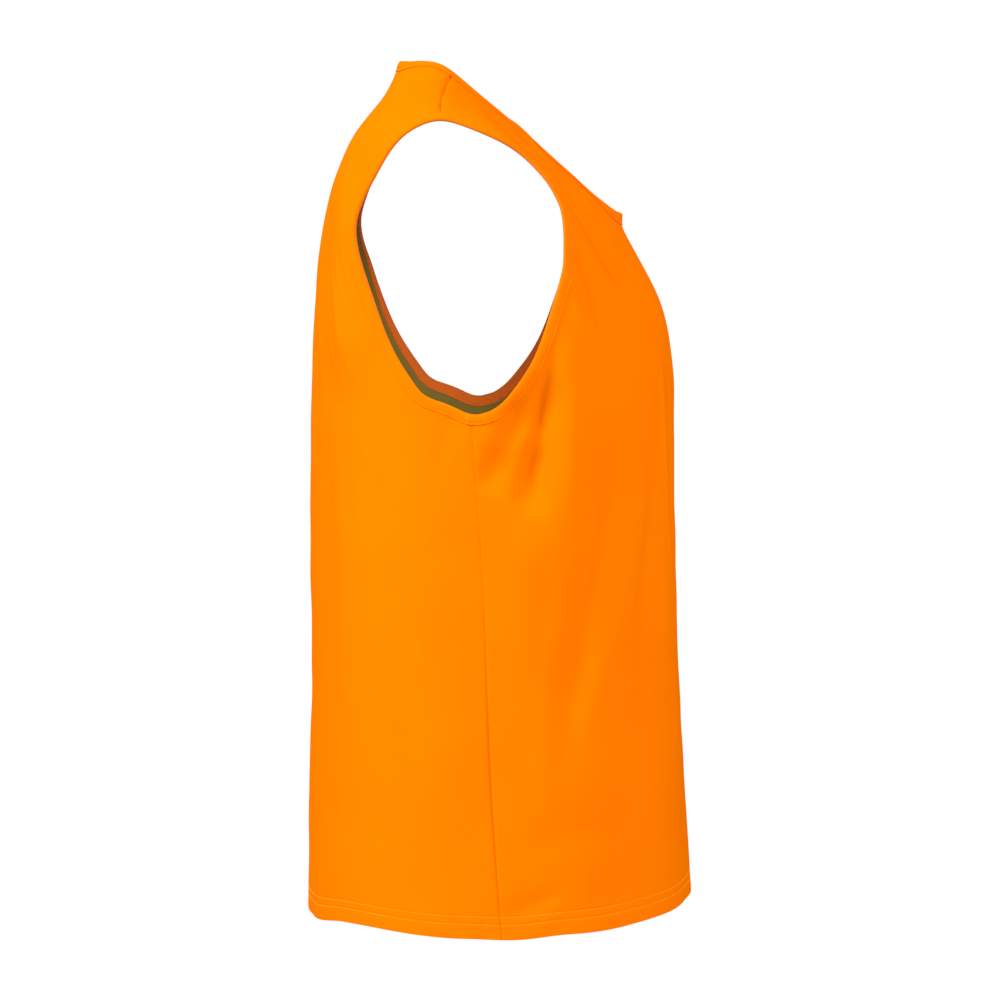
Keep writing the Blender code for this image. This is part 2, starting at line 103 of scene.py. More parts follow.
# Folds and creases: each runs between a low and a high place, given by turn in degrees
# and height, with its sideways bow, half width and lift off the form.
FOLD_COLUMNS = ("low_turn", "low_z", "high_turn", "high_z", "bow", "half_width", "lift")
LARGE_FOLDS = (
    (-79, -385, -72, -228, 0, 19, -4.5),
    (-74, -470, -68, -170, 0, 26, 2.5),
    (-73, -592, -53, -250, -11, 30, -5.0),
    (-30, -640, -24, -330, 8, 42, 3.0),
    (76, -350, 71, -230, 4, 19, -4.0),
    (70, -520, 66, -190, -5, 30, 3.0),
    (71, -640, 50, -300, 10, 32, -4.5),
    (22, -560, 27, -270, -6, 46, 2.5),
    (123, -285, 113, -80, 0, 30, 6.2),
    (117, -155, 101, -2, 0, 30, 11.0),
    (76, -300, 59, -85, 0, 24, 10.5),
    (-126, -268, -119, -50, 0, 26, 8.0),
    (-118, -640, -124, -300, 6, 40, 2.0),
    (-150, -600, -142, -240, 5, 44, -2.5),
    (126, -620, 119, -330, -6, 38, 2.5),
    (156, -560, 149, -200, 4, 46, -2.0),
)
CREASES = (
    # Pulled troughs and ridges below the underarm.
    (-72.2, -296, -66.6, -206, -1.5, 7.0, -3.0),
    (-76.4, -356, -68.4, -226, 0.5, 14.5, -8.4),
    (-78.4, -360, -75.4, -288, 0.0, 13.5, -3.9),
    (-87.5, -338, -75.8, -250, 0.4, 10.0, -6.0),
    (-88.2, -340, -84.0, -294, 0.0, 9.5, -2.9),
    (-80.4, -326, -70.4, -240, 0.6, 6.5, 2.0),
    (-68.0, -480, -61.0, -150, 0.0, 13.0, 2.0),
    (-74.6, -560, -75.6, -320, 2.0, 9.0, -1.0),
    (-93.2, -345, -91.0, -262, 0.0, 3.0, 0.7),
    (-100.0, -326, -95.0, -266, -1.0, 5.0, -0.9),
    (-92.0, -700, -89.0, -300, 0.0, 17.0, -2.2),
    (79.0, -345, 71.5, -214, 0.0, 7.0, -3.2),
    (73.8, -420, 67.5, -195, 0.0, 8.0, 2.4),
    (88.0, -306, 76.0, -246, -1.0, 5.5, -2.4),
    (96.5, -324, 93.5, -262, 1.0, 4.5, -0.9),
    (92.0, -700, 89.0, -320, 0.0, 17.0, -1.6),
    # Drag lines from the strap to the chest, finest near the armhole.
    (-34.0, -182, -61.0, -60, 1.2, 4.8, -3.2),
    (-37.5, -188, -61.6, -66, -3.7, 5.0, -3.4),
    (-31.0, -148, -46.3, -63, -13.4, 4.0, 2.8),
    (-34.5, -166, -61.6, -60, -2.5, 4.8, 2.6),
    (-42.0, -122, -57.2, -58, -0.9, 5.0, -2.6),
    (-38.0, -176, -57.0, -87, -3.0, 4.4, 2.2),
    (-45.5, -116, -53.5, -80, -0.5, 4.2, -1.4),
    (-54.0, -212, -59.4, -122, 1.4, 6.5, -3.4),
    (-55.5, -230, -63.5, -120, 0.0, 5.5, 1.6),
    (-45.0, -250, -52.0, -170, 2.0, 7.0, -1.3),
    (42.0, -152, 60.0, -78, 4.0, 3.4, -2.3),
    (36.0, -186, 56.5, -84, -10.0, 3.6, -2.4),
    (51.5, -206, 61.5, -106, 1.0, 4.0, -2.2),
    (31.0, -146, 50.0, -96, 1.0, 3.4, -1.5),
    (46.5, -180, 60.5, -94, 2.0, 4.2, 1.8),
    (38.5, -166, 57.5, -82, -3.5, 3.6, 1.8),
    (57.0, -236, 64.0, -126, 0.0, 5.5, 1.5),
    # Folds along the strap, beside the neck.
    (-57.0, -76, -78.2, -11, 6.2, 5.0, -1.8),
    (-50.4, -73, -67.0, -20, 14.0, 4.4, 1.8),
    (-33.5, -92, -44.5, -80, 0.5, 2.8, -1.8),
    (-8.0, -112, -31.0, -98, 0.0, 2.8, -1.8),
    (62.0, -64, 80.0, -6, 1.0, 3.2, -1.7),
    (57.5, -62, 74.0, -14, 1.0, 3.2, 1.1),
    (31.0, -96, 47.0, -79, 0.0, 2.4, -1.6),
    # Long soft troughs down the front and a slanting fold at its edge.
    (-71.6, -584, -47.5, -242, -12.5, 10.0, -4.0),
    (-66.5, -540, -39.0, -280, 8.0, 12.0, 2.6),
    (-78.5, -640, -72.0, -400, -3.0, 9.0, 1.5),
    (-51.0, -600, -37.0, -330, -5.0, 13.0, -2.0),
    (-26.5, -440, -22.6, -210, -5.0, 6.5, 1.8),
    (-20.0, -450, -14.0, -205, -4.0, 10.0, -1.8),
    (-36.0, -520, -28.0, -280, 3.0, 14.0, 1.5),
    (14.0, -510, 8.0, -240, -2.0, 9.0, -1.8),
    (74.0, -590, 49.0, -250, 13.0, 10.0, -3.2),
    (65.5, -545, 41.0, -285, -7.0, 12.0, 2.2),
    (38.0, -640, 33.0, -380, -3.0, 14.0, -1.5),
    # Faint lines on the back, fanning below the shoulder blade.
    (-127.0, -242, -136.0, -128, 2.0, 4.0, -1.2),
    (-122.0, -250, -130.0, -122, 2.0, 4.0, 1.0),
    (-118.0, -222, -125.5, -112, 2.0, 3.6, -1.0),
    (-131.0, -520, -134.0, -260, 4.0, 13.0, 1.2),
    (-108.0, -600, -113.0, -330, 3.0, 12.0, -1.1),
    (125.0, -236, 134.0, -126, -2.0, 5.0, -1.1),
    (119.0, -246, 127.0, -118, -2.0, 4.5, 0.8),
    (113.0, -560, 118.0, -300, -3.0, 12.0, -1.1),
    (164.0, -420, 168.0, -190, 3.0, 13.0, 1.3),
    (-168.0, -610, -171.0, -380, -3.0, 13.0, -1.3),
    # Dimples and small waves at the hem.
    (-90.0, -692, -74.0, -670, 0.0, 7.0, -1.3),
    (-84.0, -632, -60.0, -618, 0.0, 15.0, -1.1),
    (-80.0, -704, -77.0, -676, 0.0, 5.0, 0.9),
    (-92.5, -712, -95.0, -692, 0.0, 2.6, -0.7),
    (-95.5, -712, -98.0, -690, 0.0, 2.8, 0.7),
    (-98.5, -712, -101.5, -690, 0.0, 3.0, -0.7),
    (-102.5, -712, -105.0, -688, 0.0, 3.6, 0.6),
    (-60.0, -700, -61.5, -600, 1.0, 10.0, -1.3),
    (86.0, -684, 70.0, -664, -1.0, 7.0, -1.6),
    (93.0, -712, 95.0, -690, 0.0, 3.0, -0.7),
    (97.0, -712, 99.5, -688, 0.0, 3.4, 0.7),
    (40.0, -700, 42.0, -610, 1.0, 10.0, 1.2),
    (142.0, -712, 140.0, -640, 0.0, 10.0, -1.2),
)
FOLDS = LARGE_FOLDS + CREASES
FOLD_RADIUS = 190.0
FOLD_END = 0.3

# How the hem hangs lower, or higher where negative, with turns in degrees.
HEM_WAVE_COLUMNS = ("turn", "half_turn", "drop")
HEM_WAVES = (
    (-48, 34, 3.2), (-126, 32, -5.0), (-68, 18, 2.2), (-86, 12, 2.4), (-146, 14, 1.5),
    (52, 32, 3.5), (131, 30, -3.5), (70, 20, 2.0),
)
HEM_WAVE_RUN = 0.2

# Small unevenness of the cloth: waves by length, height and count, with a steady seed
# for where they lie. They run more up and down than round the body.
RIPPLES = ((120, 0.45, 10), (62, 0.22, 12), (33, 0.09, 14))
RIPPLE_SEED = 41
RIPPLE_WAY = (1.0, 1.0, 0.55)

# The seams between front and back are drawn in, and pucker along their length. The
# puckers grow from a share of their height, low on the seam, to all of it.
SEAM_HALF_WIDTH = 1.2
SEAM_DIP_RUNS = (0.0, 0.06, 0.2, 0.36, 0.5, 0.8, 1.0)
SEAM_DIPS = (0.8, 1.3, 1.3, 0.55, 0.5, 1.2, 1.3)
PUCKER_LENGTH = 13.0
PUCKER_HEIGHT = 0.35
PUCKER_HALF_WIDTH = 9.0
PUCKER_DRIFT = 31.0
PUCKER_LEAST = 0.35
PUCKER_LOW = -420
PUCKER_RISE = 120

# Layers, edges and bands.
LAYER_START = 1.8
SEAM_GAP = 0.0
EDGE_SETBACK = 1.6
BAND_WIDTH = 10.0
BAND_STITCH_BEHIND = 1.8
HEM_RUN = 0.0236
HEM_STEP_RUN = 0.0245
INNER_HEM_RUN = 0.0285
INNER_HEM_DEPTH_RUN = 0.0236
HEM_RUN_BY_MM = 0.00118
HEM_STITCHES = (11.8, 18.2)
STITCH_DIP = 0.35
STITCH_HALF_WIDTH = 0.9

# How finely the cloth is laid out before it is made smooth.
HALF_COLUMNS = 10
SIDE_ROWS = 4
ARMHOLE_ROWS = 12
SHOULDER_ROWS = 3
NECK_ROW = 26.0
CURVE_SAMPLES = 48
RELAX_ROUNDS = 30

# Places on the form are found in rounds of bounded steps. They start from how far an
# armhole reaches round the body, either way, and from a run just below the neck edge.
SETTLE_ROUNDS = 12
TURN_STEP = 0.1
RUN_STEP = 0.05
FIRST_ARMHOLE_REACH = math.radians(25)
FIRST_NECK_RUN = 0.97

# How many points of a closed line are repeated at its ends, so that a curve runs through.
LOOP_OVERLAP = 4

# The fine columns beside a seam, by how far they lie from it, in rough columns, and how
# far the even ones keep away.
SEAM_COLUMNS = (0.25, 0.15, 0.09, 0.05, 0.02, 0.0)
SEAM_CLEAR = 0.3


def columns(names, rows):
    """Return a table's columns by name."""
    return dict(zip(names, np.array(rows, dtype=float).T))


def natural_spline(knots, values, at):
    """Return the natural cubic through values at the knots, read at other places."""
    count = len(knots)
    step = np.diff(knots)
    matrix = np.eye(count)
    target = np.zeros_like(values)
    for i in range(1, count - 1):
        matrix[i, i - 1:i + 2] = step[i - 1], 2 * (step[i - 1] + step[i]), step[i]
        rise = (values[i + 1] - values[i]) / step[i]
        target[i] = 6 * (rise - (values[i] - values[i - 1]) / step[i - 1])
    bend = np.linalg.solve(matrix, target)
    span = np.clip(np.searchsorted(knots, at, side="right") - 1, 0, count - 2)
    low = ((knots[span + 1] - at) / step[span])[..., None]
    high = 1 - low
    square = step[span][..., None] ** 2 / 6
    line = low * values[span] + high * values[span + 1]
    curve = (low ** 3 - low) * bend[span] + (high ** 3 - high) * bend[span + 1]
    return line + curve * square


RING = columns(RING_COLUMNS, RINGS)
RING_VALUES = np.array(RINGS, dtype=float)[:, 1:]


def smooth_step(share):
    """Return a share of 0 to 1 with its ends eased."""
    share = np.clip(share, 0, 1)
    return share * share * (3 - 2 * share)


def hump(turn, middle, half_width):
    """Return a smooth hump in a turn in degrees, 1 at its middle and 0 past its sides."""
    aside = np.clip(np.abs(turn - middle) / half_width, 0, 1)
    return np.cos(aside * math.pi / 2) ** 2


def wrapped(turn):
    """Return a turn within half a turn of the centre front."""
    return (turn + math.pi) % FULL_TURN - math.pi


def hem_drop(turn, run):
    """Return how far the hem's waves lower the cloth."""
    wave = columns(HEM_WAVE_COLUMNS, HEM_WAVES)
    away = (np.degrees(turn)[..., None] - wave["turn"] + 180) % 360 - 180
    drop = (wave["drop"] * hump(away, 0.0, wave["half_turn"])).sum(-1)
    return drop * np.clip(1 - run / HEM_WAVE_RUN, 0, 1) ** 2


def form(turn, run):
    """Return points of the smooth form, without folds, in millimetres."""
    turn, run = np.broadcast_arrays(np.asarray(turn, float), np.asarray(run, float))
    values = natural_spline(RING["run"], RING_VALUES, run)
    ring = dict(zip(RING_COLUMNS[1:], np.moveaxis(values, -1, 0)))
    front = ring["front_y"] - ring["side_y"]
    back = ring["back_y"] - ring["side_y"]
    reach = np.where(np.cos(turn) >= 0, -front, back)
    square = np.where(np.cos(turn) >= 0, ring["front_square"], ring["back_square"])
    across = np.abs(np.sin(turn)) / ring["side_x"]
    along = np.abs(np.cos(turn)) / reach
    radius = (across ** square + along ** square) ** (-1 / square)
    x = radius * np.sin(turn)
    y = -radius * np.cos(turn)

    def ridge(place):
        over = np.hypot(place - RIDGE_BEHIND_SEAM, ring["softness"])
        return over - np.hypot(RIDGE_BEHIND_SEAM, ring["softness"])

    front_rise = ring["front_z"] - ring["side_z"]
    back_rise = ring["back_z"] - ring["side_z"]
    spread = front * ridge(back) - back * ridge(front)
    slope = (front_rise * ridge(back) - back_rise * ridge(front)) / spread
    fall = (front * back_rise - back * front_rise) / spread
    off_front = np.degrees(np.abs(wrapped(turn)))
    dip = ring["scoop"] * hump(off_front, SCOOP_TURN, SCOOP_HALF_TURN)
    rise = ring["arch"] * hump(off_front, ARCH_TURN, ARCH_HALF_TURN)
    z = ring["side_z"] + slope * y + fall * ridge(y) + rise - dip
    return np.stack([x, ring["side_y"] + y, z - hem_drop(turn, run)], -1)


def slopes(turn, run):
    """Return how the form moves for each radian of turn and each unit of run."""
    step = 1e-4
    by_turn = (form(turn + step, run) - form(turn - step, run)) / (2 * step)
    high = np.minimum(run + step, 1.0)
    low = np.maximum(run - step, 0.0)
    by_run = (form(turn, high) - form(turn, low)) / (high - low)[..., None]
    return by_turn, by_run


def normals(turn, run):
    """Return the form's outward normals."""
    outward = np.cross(*slopes(turn, run))
    return outward / np.linalg.norm(outward, axis=-1, keepdims=True)


def fold_lift(turn, up):
    """Return how far folds and creases lift the cloth off the form at a turn and height."""
    fold = columns(FOLD_COLUMNS, FOLDS)
    turn = wrapped(turn)
    start = np.radians(fold["low_turn"]) * FOLD_RADIUS
    run_x = np.radians(fold["high_turn"]) * FOLD_RADIUS - start
    run_z = fold["high_z"] - fold["low_z"]
    length = np.hypot(run_x, run_z)
    x = (turn * FOLD_RADIUS)[..., None] - start
    z = up[..., None] - fold["low_z"]
    share = (x * run_x + z * run_z) / length ** 2
    bowed = fold["bow"] * 4 * share * (1 - share)
    aside = (x * run_z - z * run_x) / length - bowed
    ends = smooth_step(share / FOLD_END) * smooth_step((1 - share) / FOLD_END)
    return (fold["lift"] * ends * np.exp(-(aside / fold["half_width"]) ** 2)).sum(-1)


def ripple_lift(point):
    """Return the small unevenness of the cloth at a point of the form."""
    random = np.random.default_rng(RIPPLE_SEED)
    lift = np.zeros(point.shape[:-1])
    for length, height, count in RIPPLES:
        for _ in range(int(count)):
            way = random.normal(size=3) * RIPPLE_WAY
            way *= FULL_TURN / length / np.linalg.norm(way)
            phase = random.uniform(0, FULL_TURN)
            lift += height * math.sqrt(2 / count) * np.sin(point @ way + phase)
    return lift


def seam_lift(turn, run, point):
    """Return how far the side and shoulder seams draw the outer cloth in and pucker it."""
    by_turn = np.linalg.norm(slopes(turn, run)[0], axis=-1)
    away = (np.abs(wrapped(turn)) - SIDE_TURN) * by_turn
    dip = np.interp(run, SEAM_DIP_RUNS, SEAM_DIPS)
    dip = dip * np.exp(-(away / SEAM_HALF_WIDTH) ** 2)
    height = point[..., 2]
    beat = np.sin(height / PUCKER_LENGTH * FULL_TURN + np.sin(height / PUCKER_DRIFT))
    grown = smooth_step((height - PUCKER_LOW) / PUCKER_RISE)
    fade = PUCKER_LEAST + (1 - PUCKER_LEAST) * grown
    pucker = PUCKER_HEIGHT * beat * fade * np.exp(-(away / PUCKER_HALF_WIDTH) ** 2)
    return pucker * (1 - np.exp(-(away / SEAM_HALF_WIDTH) ** 2)) - dip


def cloth(turn, run, depth=0.0, seams=False):
    """Return points of the draped cloth at a depth below its outer face."""
    turn, run = np.broadcast_arrays(np.asarray(turn, float), np.asarray(run, float))
    base = form(turn, run)
    lift = fold_lift(turn, base[..., 2]) + ripple_lift(base) - depth
    if seams:
        lift = lift + seam_lift(turn, run, base)
    return base + normals(turn, run) * lift[..., None]


def settle(target, turn, run, axes=(0, 1, 2), rounds=SETTLE_ROUNDS):
    """Return the turn and run whose point on the form is nearest to each target."""
    turn = np.array(turn, dtype=float)
    run = np.array(run, dtype=float)
    axes = list(axes)
    for _ in range(rounds):
        miss = (target - form(turn, run))[..., axes]
        by_turn, by_run = (slope[..., axes] for slope in slopes(turn, run))
        tt = (by_turn * by_turn).sum(-1)
        tr = (by_turn * by_run).sum(-1)
        rr = (by_run * by_run).sum(-1)
        turn_miss = (by_turn * miss).sum(-1)
        run_miss = (by_run * miss).sum(-1)
        spread = tt * rr - tr * tr
        turn += np.clip((rr * turn_miss - tr * run_miss) / spread, -TURN_STEP, TURN_STEP)
        run += np.clip((tt * run_miss - tr * turn_miss) / spread, -RUN_STEP, RUN_STEP)
        run = np.clip(run, 0.0, 1.0)
    return turn, run


def armhole_loop():
    """Return the left armhole edge as turns and runs, up the front and down the back."""
    underarm, shoulder = form(SIDE_TURN, np.array([UNDERARM_RUN, SHOULDER_RUN]))[:, 1:]
    front = np.array(ARMHOLE_FRONT, dtype=float)
    back = np.array(ARMHOLE_BACK, dtype=float)[::-1]
    outline = np.vstack([underarm, front, shoulder, back])
    round_again = np.vstack([outline[-LOOP_OVERLAP:], outline, outline[:LOOP_OVERLAP]])
    length = np.cumsum(np.r_[0, np.hypot(*np.diff(round_again, axis=0).T)])
    first = LOOP_OVERLAP
    starts = length[first], length[first + len(front) + 1], length[first + len(outline)]
    places = np.concatenate([
        np.linspace(starts[0], starts[1], CURVE_SAMPLES, endpoint=False),
        np.linspace(starts[1], starts[2], CURVE_SAMPLES, endpoint=False),
    ])
    side_view = natural_spline(length, round_again, places)
    target = np.column_stack([np.zeros(len(places)), side_view])
    ahead = np.arange(len(places)) < CURVE_SAMPLES
    guess = SIDE_TURN + np.where(ahead, -1, 1) * FIRST_ARMHOLE_REACH
    guess[[0, CURVE_SAMPLES]] = SIDE_TURN
    heights = np.interp(side_view[:, 1], [underarm[1], shoulder[1]],
                        [UNDERARM_RUN, SHOULDER_RUN])
    return settle(target, guess, heights, axes=(1, 2))


def inset_loop(turn, run, distance):
    """Return a closed loop of places moved into the cloth around an armhole."""
    edge = form(turn, run)
    along = np.roll(edge, -1, axis=0) - np.roll(edge, 1, axis=0)
    inward = np.cross(normals(turn, run), along)
    inward /= np.linalg.norm(inward, axis=-1, keepdims=True)
    inward *= np.sign(((edge - edge.mean(0)) * inward).sum())
    return settle(edge + inward * distance, turn, run)


ARMHOLE = armhole_loop()


def armhole_line(half, distance):
    """Return an inset armhole line from underarm to shoulder, as turns and runs."""
    turn, run = inset_loop(*ARMHOLE, distance)
    if half == "front":
        picked = np.arange(CURVE_SAMPLES + 1)
    else:
        picked = np.arange(2 * CURVE_SAMPLES, CURVE_SAMPLES - 1, -1) % len(turn)
    turn, run = turn[picked], run[picked]
    turn[[0, -1]] = SIDE_TURN
    edge = form(ARMHOLE[0][picked], ARMHOLE[1][picked])
    length = np.cumsum(np.r_[0, np.linalg.norm(np.diff(edge, axis=0), axis=1)])
    places = np.linspace(0, length[-1], ARMHOLE_ROWS + 1)
    return np.interp(places, length, turn), np.interp(places, length, run)


def neck_run(turn, distance):
    """Return the run of the line a distance below the neck edge."""
    turn = np.asarray(turn, float)
    edge = form(turn, np.ones_like(turn))
    run = np.full_like(turn, FIRST_NECK_RUN)
    for _ in range(SETTLE_ROUNDS):
        away = np.linalg.norm(form(turn, run) - edge, axis=-1)
        run = 1 - (1 - run) * distance / away
    return run


def seam_turn(half, run):
    """Return the turn of a panel's edge at a side or shoulder seam."""
    ahead = -1 if half == "front" else 1
    by_turn = slopes(np.full_like(run, SIDE_TURN), run)[0]
    return SIDE_TURN + ahead * SEAM_GAP / 2 / np.linalg.norm(by_turn, axis=-1)


def spread_runs(turn, low, high, beside):
    """Return runs on one turn line from low to high, spaced as the points beside are."""
    fine = np.linspace(low, high, CURVE_SAMPLES)
    line = form(turn, fine)
    height = np.cumsum(np.r_[0, np.linalg.norm(np.diff(line, axis=0), axis=1)])
    share = np.cumsum(np.r_[0, np.linalg.norm(np.diff(beside, axis=0), axis=1)])
    return np.interp(share / share[-1] * height[-1], height, fine)


# Rows of the rough layout: hem edge, hem depth, step, inner hem, then the side rows.
HEM_LAYOUT_ROWS = 4
STRIP_ROW = HEM_LAYOUT_ROWS - 1 + SIDE_ROWS


def relaxed(turn, run):
    """Return a layout with its places between hem, ends and neck spread evenly."""
    rows = slice(HEM_LAYOUT_ROWS, -2)
    below = slice(HEM_LAYOUT_ROWS - 1, -3)
    above = slice(HEM_LAYOUT_ROWS + 1, -1)
    centre = turn[0, 0]
    for _ in range(RELAX_ROUNDS):
        points = form(turn, run)
        mirrored = points[:, 1:2] * (-1, 1, 1)
        near = np.concatenate([mirrored, points[:, :-2]], axis=1)[rows]
        far = points[rows, 1:]
        middle = (near + far + points[below, :-1] + points[above, :-1]) / 4
        places = settle(middle, turn[rows, :-1], run[rows, :-1], rounds=1)
        turn[rows, :-1], run[rows, :-1] = places
        turn[:, 0] = centre
    return turn, run


def half_layout(half):
    """Return a left half panel's rough layout, and its strip along the armhole."""
    inner_turn, inner_run = armhole_line(half, BAND_WIDTH)
    edge_turn, edge_run = armhole_line(half, EDGE_SETBACK)
    side = np.linspace(INNER_HEM_RUN, inner_run[0], SIDE_ROWS + 1)[:-1]
    below_neck = neck_run(np.full(2, SIDE_TURN), np.array([NECK_ROW, BAND_WIDTH]))
    shoulder = np.linspace(inner_run[-1], below_neck[0], SHOULDER_ROWS)[1:]
    shoulder = np.append(shoulder, below_neck[1])
    hem = [0.0, HEM_RUN, HEM_STEP_RUN]
    end_run = np.concatenate([hem, side, inner_run, shoulder])
    end_turn = seam_turn(half, end_run)
    end_turn[STRIP_ROW + 1:STRIP_ROW + ARMHOLE_ROWS] = inner_turn[1:-1]
    edge_turn[[0, -1]] = seam_turn(half, edge_run[[0, -1]])

    centre_turn = 0.0 if half == "front" else BACK_TURN
    top_row = neck_run(np.array([centre_turn]), NECK_ROW)[0]
    centre_run = end_run.copy()
    first = HEM_LAYOUT_ROWS - 1
    centre_run[first:-1] = spread_runs(centre_turn, INNER_HEM_RUN, top_row,
                                       form(end_turn, end_run)[first:-1])
    across = np.linspace(0, 1, HALF_COLUMNS + 1)
    turn = centre_turn + (end_turn[:, None] - centre_turn) * across
    run = centre_run[:, None] + (end_run - centre_run)[:, None] * across ** 2
    run[-1] = neck_run(turn[-1], BAND_WIDTH)
    run[-2] = neck_run(turn[-2], NECK_ROW)
    turn, run = relaxed(turn, run)

    top_end = seam_turn(half, neck_run(np.array([SIDE_TURN]), EDGE_SETBACK))[0]
    top_turn = centre_turn + (top_end - centre_turn) * across
    turn = np.vstack([turn, top_turn])
    run = np.vstack([run, neck_run(top_turn, EDGE_SETBACK)])
    return {"centre": centre_turn, "turn": turn, "run": run,
            "strip_turn": edge_turn, "strip_run": edge_run}


LAYOUT = {half: half_layout(half) for half in ("front", "back")}


def fine_columns(steps):
    """Return the places of fine columns across a whole panel, closer at its seams."""
    half = np.arange(0, HALF_COLUMNS * steps) / steps
    half = half[half < HALF_COLUMNS - SEAM_CLEAR]
    seam = HALF_COLUMNS - np.array(SEAM_COLUMNS)
    left = np.concatenate([half, seam])
    return np.concatenate([-left[:0:-1], left])


def fine_rows(first_row, hem_steps, steps):
    """Return the places of fine rows, in the stretches that a panel's layout has."""
    last = STRIP_ROW + ARMHOLE_ROWS + SHOULDER_ROWS
    stretches = [(0, 1, hem_steps), (1, 2, 1), (2, 3, 2), (3, STRIP_ROW, steps * 3),
                 (STRIP_ROW, STRIP_ROW + ARMHOLE_ROWS, steps),
                 (STRIP_ROW + ARMHOLE_ROWS, last, steps), (last, last + 1, 1)]
    return [stretch for stretch in stretches if stretch[0] >= first_row]


def fine_panel(half, first_row, steps, hem_steps):
    """Return a whole panel's fine places: rows by columns, and the strip along one side.

    Turns rise along each row, from the wearer's right to left on the front, and from
    left to right on the back.
    """
    layout = LAYOUT[half]
    offset = layout["turn"] - layout["centre"]
    run = layout["run"]
    if half == "front":
        offset = np.hstack([-offset[:, :0:-1], offset])
    else:
        offset = np.hstack([offset[:, :0:-1], -offset])
    run = np.hstack([run[:, :0:-1], run])
    knots = np.arange(-HALF_COLUMNS, HALF_COLUMNS + 1, dtype=float)
    places = fine_columns(steps)
    offset = natural_spline(knots, offset.T, places).T
    run = natural_spline(knots, run.T, places).T
    strip = np.column_stack([layout["strip_turn"], layout["strip_run"]])

    turns, runs, strips = [], [], []
    row_at_strip = 0
    for low, high, count in fine_rows(first_row, hem_steps, steps):
        at = np.linspace(low, high, count * (high - low) + 1)[:-1]
        knots = np.arange(low, high + 1, dtype=float)
        turns.append(natural_spline(knots, offset[low:high + 1], at))
        runs.append(natural_spline(knots, run[low:high + 1], at))
        if low == STRIP_ROW:
            row_at_strip = sum(len(block) for block in turns[:-1])
            strips = natural_spline(knots, strip, np.append(at, high))
    turns.append(offset[-1:])
    runs.append(run[-1:])
    turn = layout["centre"] + np.vstack(turns)
    return {"turn": turn, "run": np.vstack(runs), "strip_turn": strips[:, 0],
            "strip_run": strips[:, 1], "strip_row": row_at_strip, "half": half}


def skin_quads(panel):
    """Return the four-sided facets of one skin of a panel, in outward order."""
    rows, width = panel["turn"].shape
    corner = (np.arange(rows - 1)[:, None] * width + np.arange(width - 1)).ravel()
    grid = np.column_stack([corner, corner + 1, corner + width + 1, corner + width])
    count = len(panel["strip_turn"])
    step = np.arange(count - 1)
    line = (panel["strip_row"] + step) * width
    high_edge = rows * width + step
    low_edge = rows * width + count + step
    high = np.column_stack([line + width - 1, high_edge, high_edge + 1,
                            line + 2 * width - 1])
    low = np.column_stack([line, line + width, low_edge + 1, low_edge])
    return np.vstack([grid, high, low])


def skin_points(panel, depth, seams):
    """Return the points of one skin of a panel at a depth given for each row."""
    turn, run = panel["turn"], panel["run"]
    grid = cloth(turn, run, depth[:, None], seams).reshape(-1, 3)
    left_turn, strip_run = panel["strip_turn"], panel["strip_run"]
    right_turn = -left_turn % FULL_TURN if panel["half"] == "back" else -left_turn
    sides = (left_turn, right_turn) if panel["half"] == "front" else (right_turn, left_turn)
    strips = [cloth(side, strip_run, depth[-1], seams) for side in sides]
    return np.vstack([grid, *strips])


def cloth_coordinates(panel):
    """Return each point's place on the flat cloth: across and along, in millimetres."""
    points = form(panel["turn"], panel["run"])
    across = np.cumsum(np.linalg.norm(np.diff(points, axis=1), axis=-1), axis=1)
    across = np.hstack([np.zeros((len(points), 1)), across])
    middle = points.shape[1] // 2
    across -= across[:, middle:middle + 1]
    along = np.cumsum(np.linalg.norm(np.diff(points, axis=0), axis=-1), axis=0)
    along = np.vstack([np.zeros((1, points.shape[1])), along])
    grid = np.stack([across, along], -1)
    rows = slice(panel["strip_row"], panel["strip_row"] + len(panel["strip_turn"]))
    high = grid[rows, -1] + (BAND_WIDTH - EDGE_SETBACK, 0)
    low = grid[rows, 0] - (BAND_WIDTH - EDGE_SETBACK, 0)
    return np.vstack([grid.reshape(-1, 2), high, low])


def closed_wall(name, outer, inner, quads, places):
    """Return a mesh of an outer and an inner skin joined along their rim, in metres."""
    count = len(outer)
    following = np.roll(quads, -1, axis=1)
    starts, ends = quads.ravel(), following.ravel()
    open_edge = ~np.isin(starts * count + ends, ends * count + starts)
    starts, ends = starts[open_edge], ends[open_edge]
    rim = np.column_stack([ends, starts, starts + count, ends + count])
    faces = np.vstack([quads, quads[:, ::-1] + count, rim])
    return faces_mesh(name, np.vstack([outer, inner]), faces, np.vstack([places, places]))


SHARP_ANGLE = math.radians(60)


def faces_mesh(name, points, quads, places):
    """Return a smooth mesh of four-sided facets with its own cloth coordinates."""
    mesh = bpy.data.meshes.new(name)
    mesh.vertices.add(len(points))
    mesh.vertices.foreach_set("co", (points * MM).astype(np.float32).ravel())
    mesh.loops.add(quads.size)
    mesh.loops.foreach_set("vertex_index", quads.astype(np.int32).ravel())
    mesh.polygons.add(len(quads))
    mesh.polygons.foreach_set("loop_start", np.arange(0, quads.size, 4, dtype=np.int32))
    layer = mesh.uv_layers.new(name="cloth")
    layer.data.foreach_set("uv", (places[quads.ravel()] * MM).astype(np.float32).ravel())
    mesh.update(calc_edges=True)
    mesh.validate()
    mesh.shade_smooth()
    mesh.set_sharp_from_angle(angle=SHARP_ANGLE)
    return mesh


def hem_stitch_dip(run):
    """Return how far the two rows of hem stitching draw the cloth in."""
    rows = np.array(HEM_STITCHES) * HEM_RUN_BY_MM
    away = (run[:, None] - rows) / HEM_RUN_BY_MM
    return STITCH_DIP * np.exp(-(away / STITCH_HALF_WIDTH) ** 2).sum(-1)


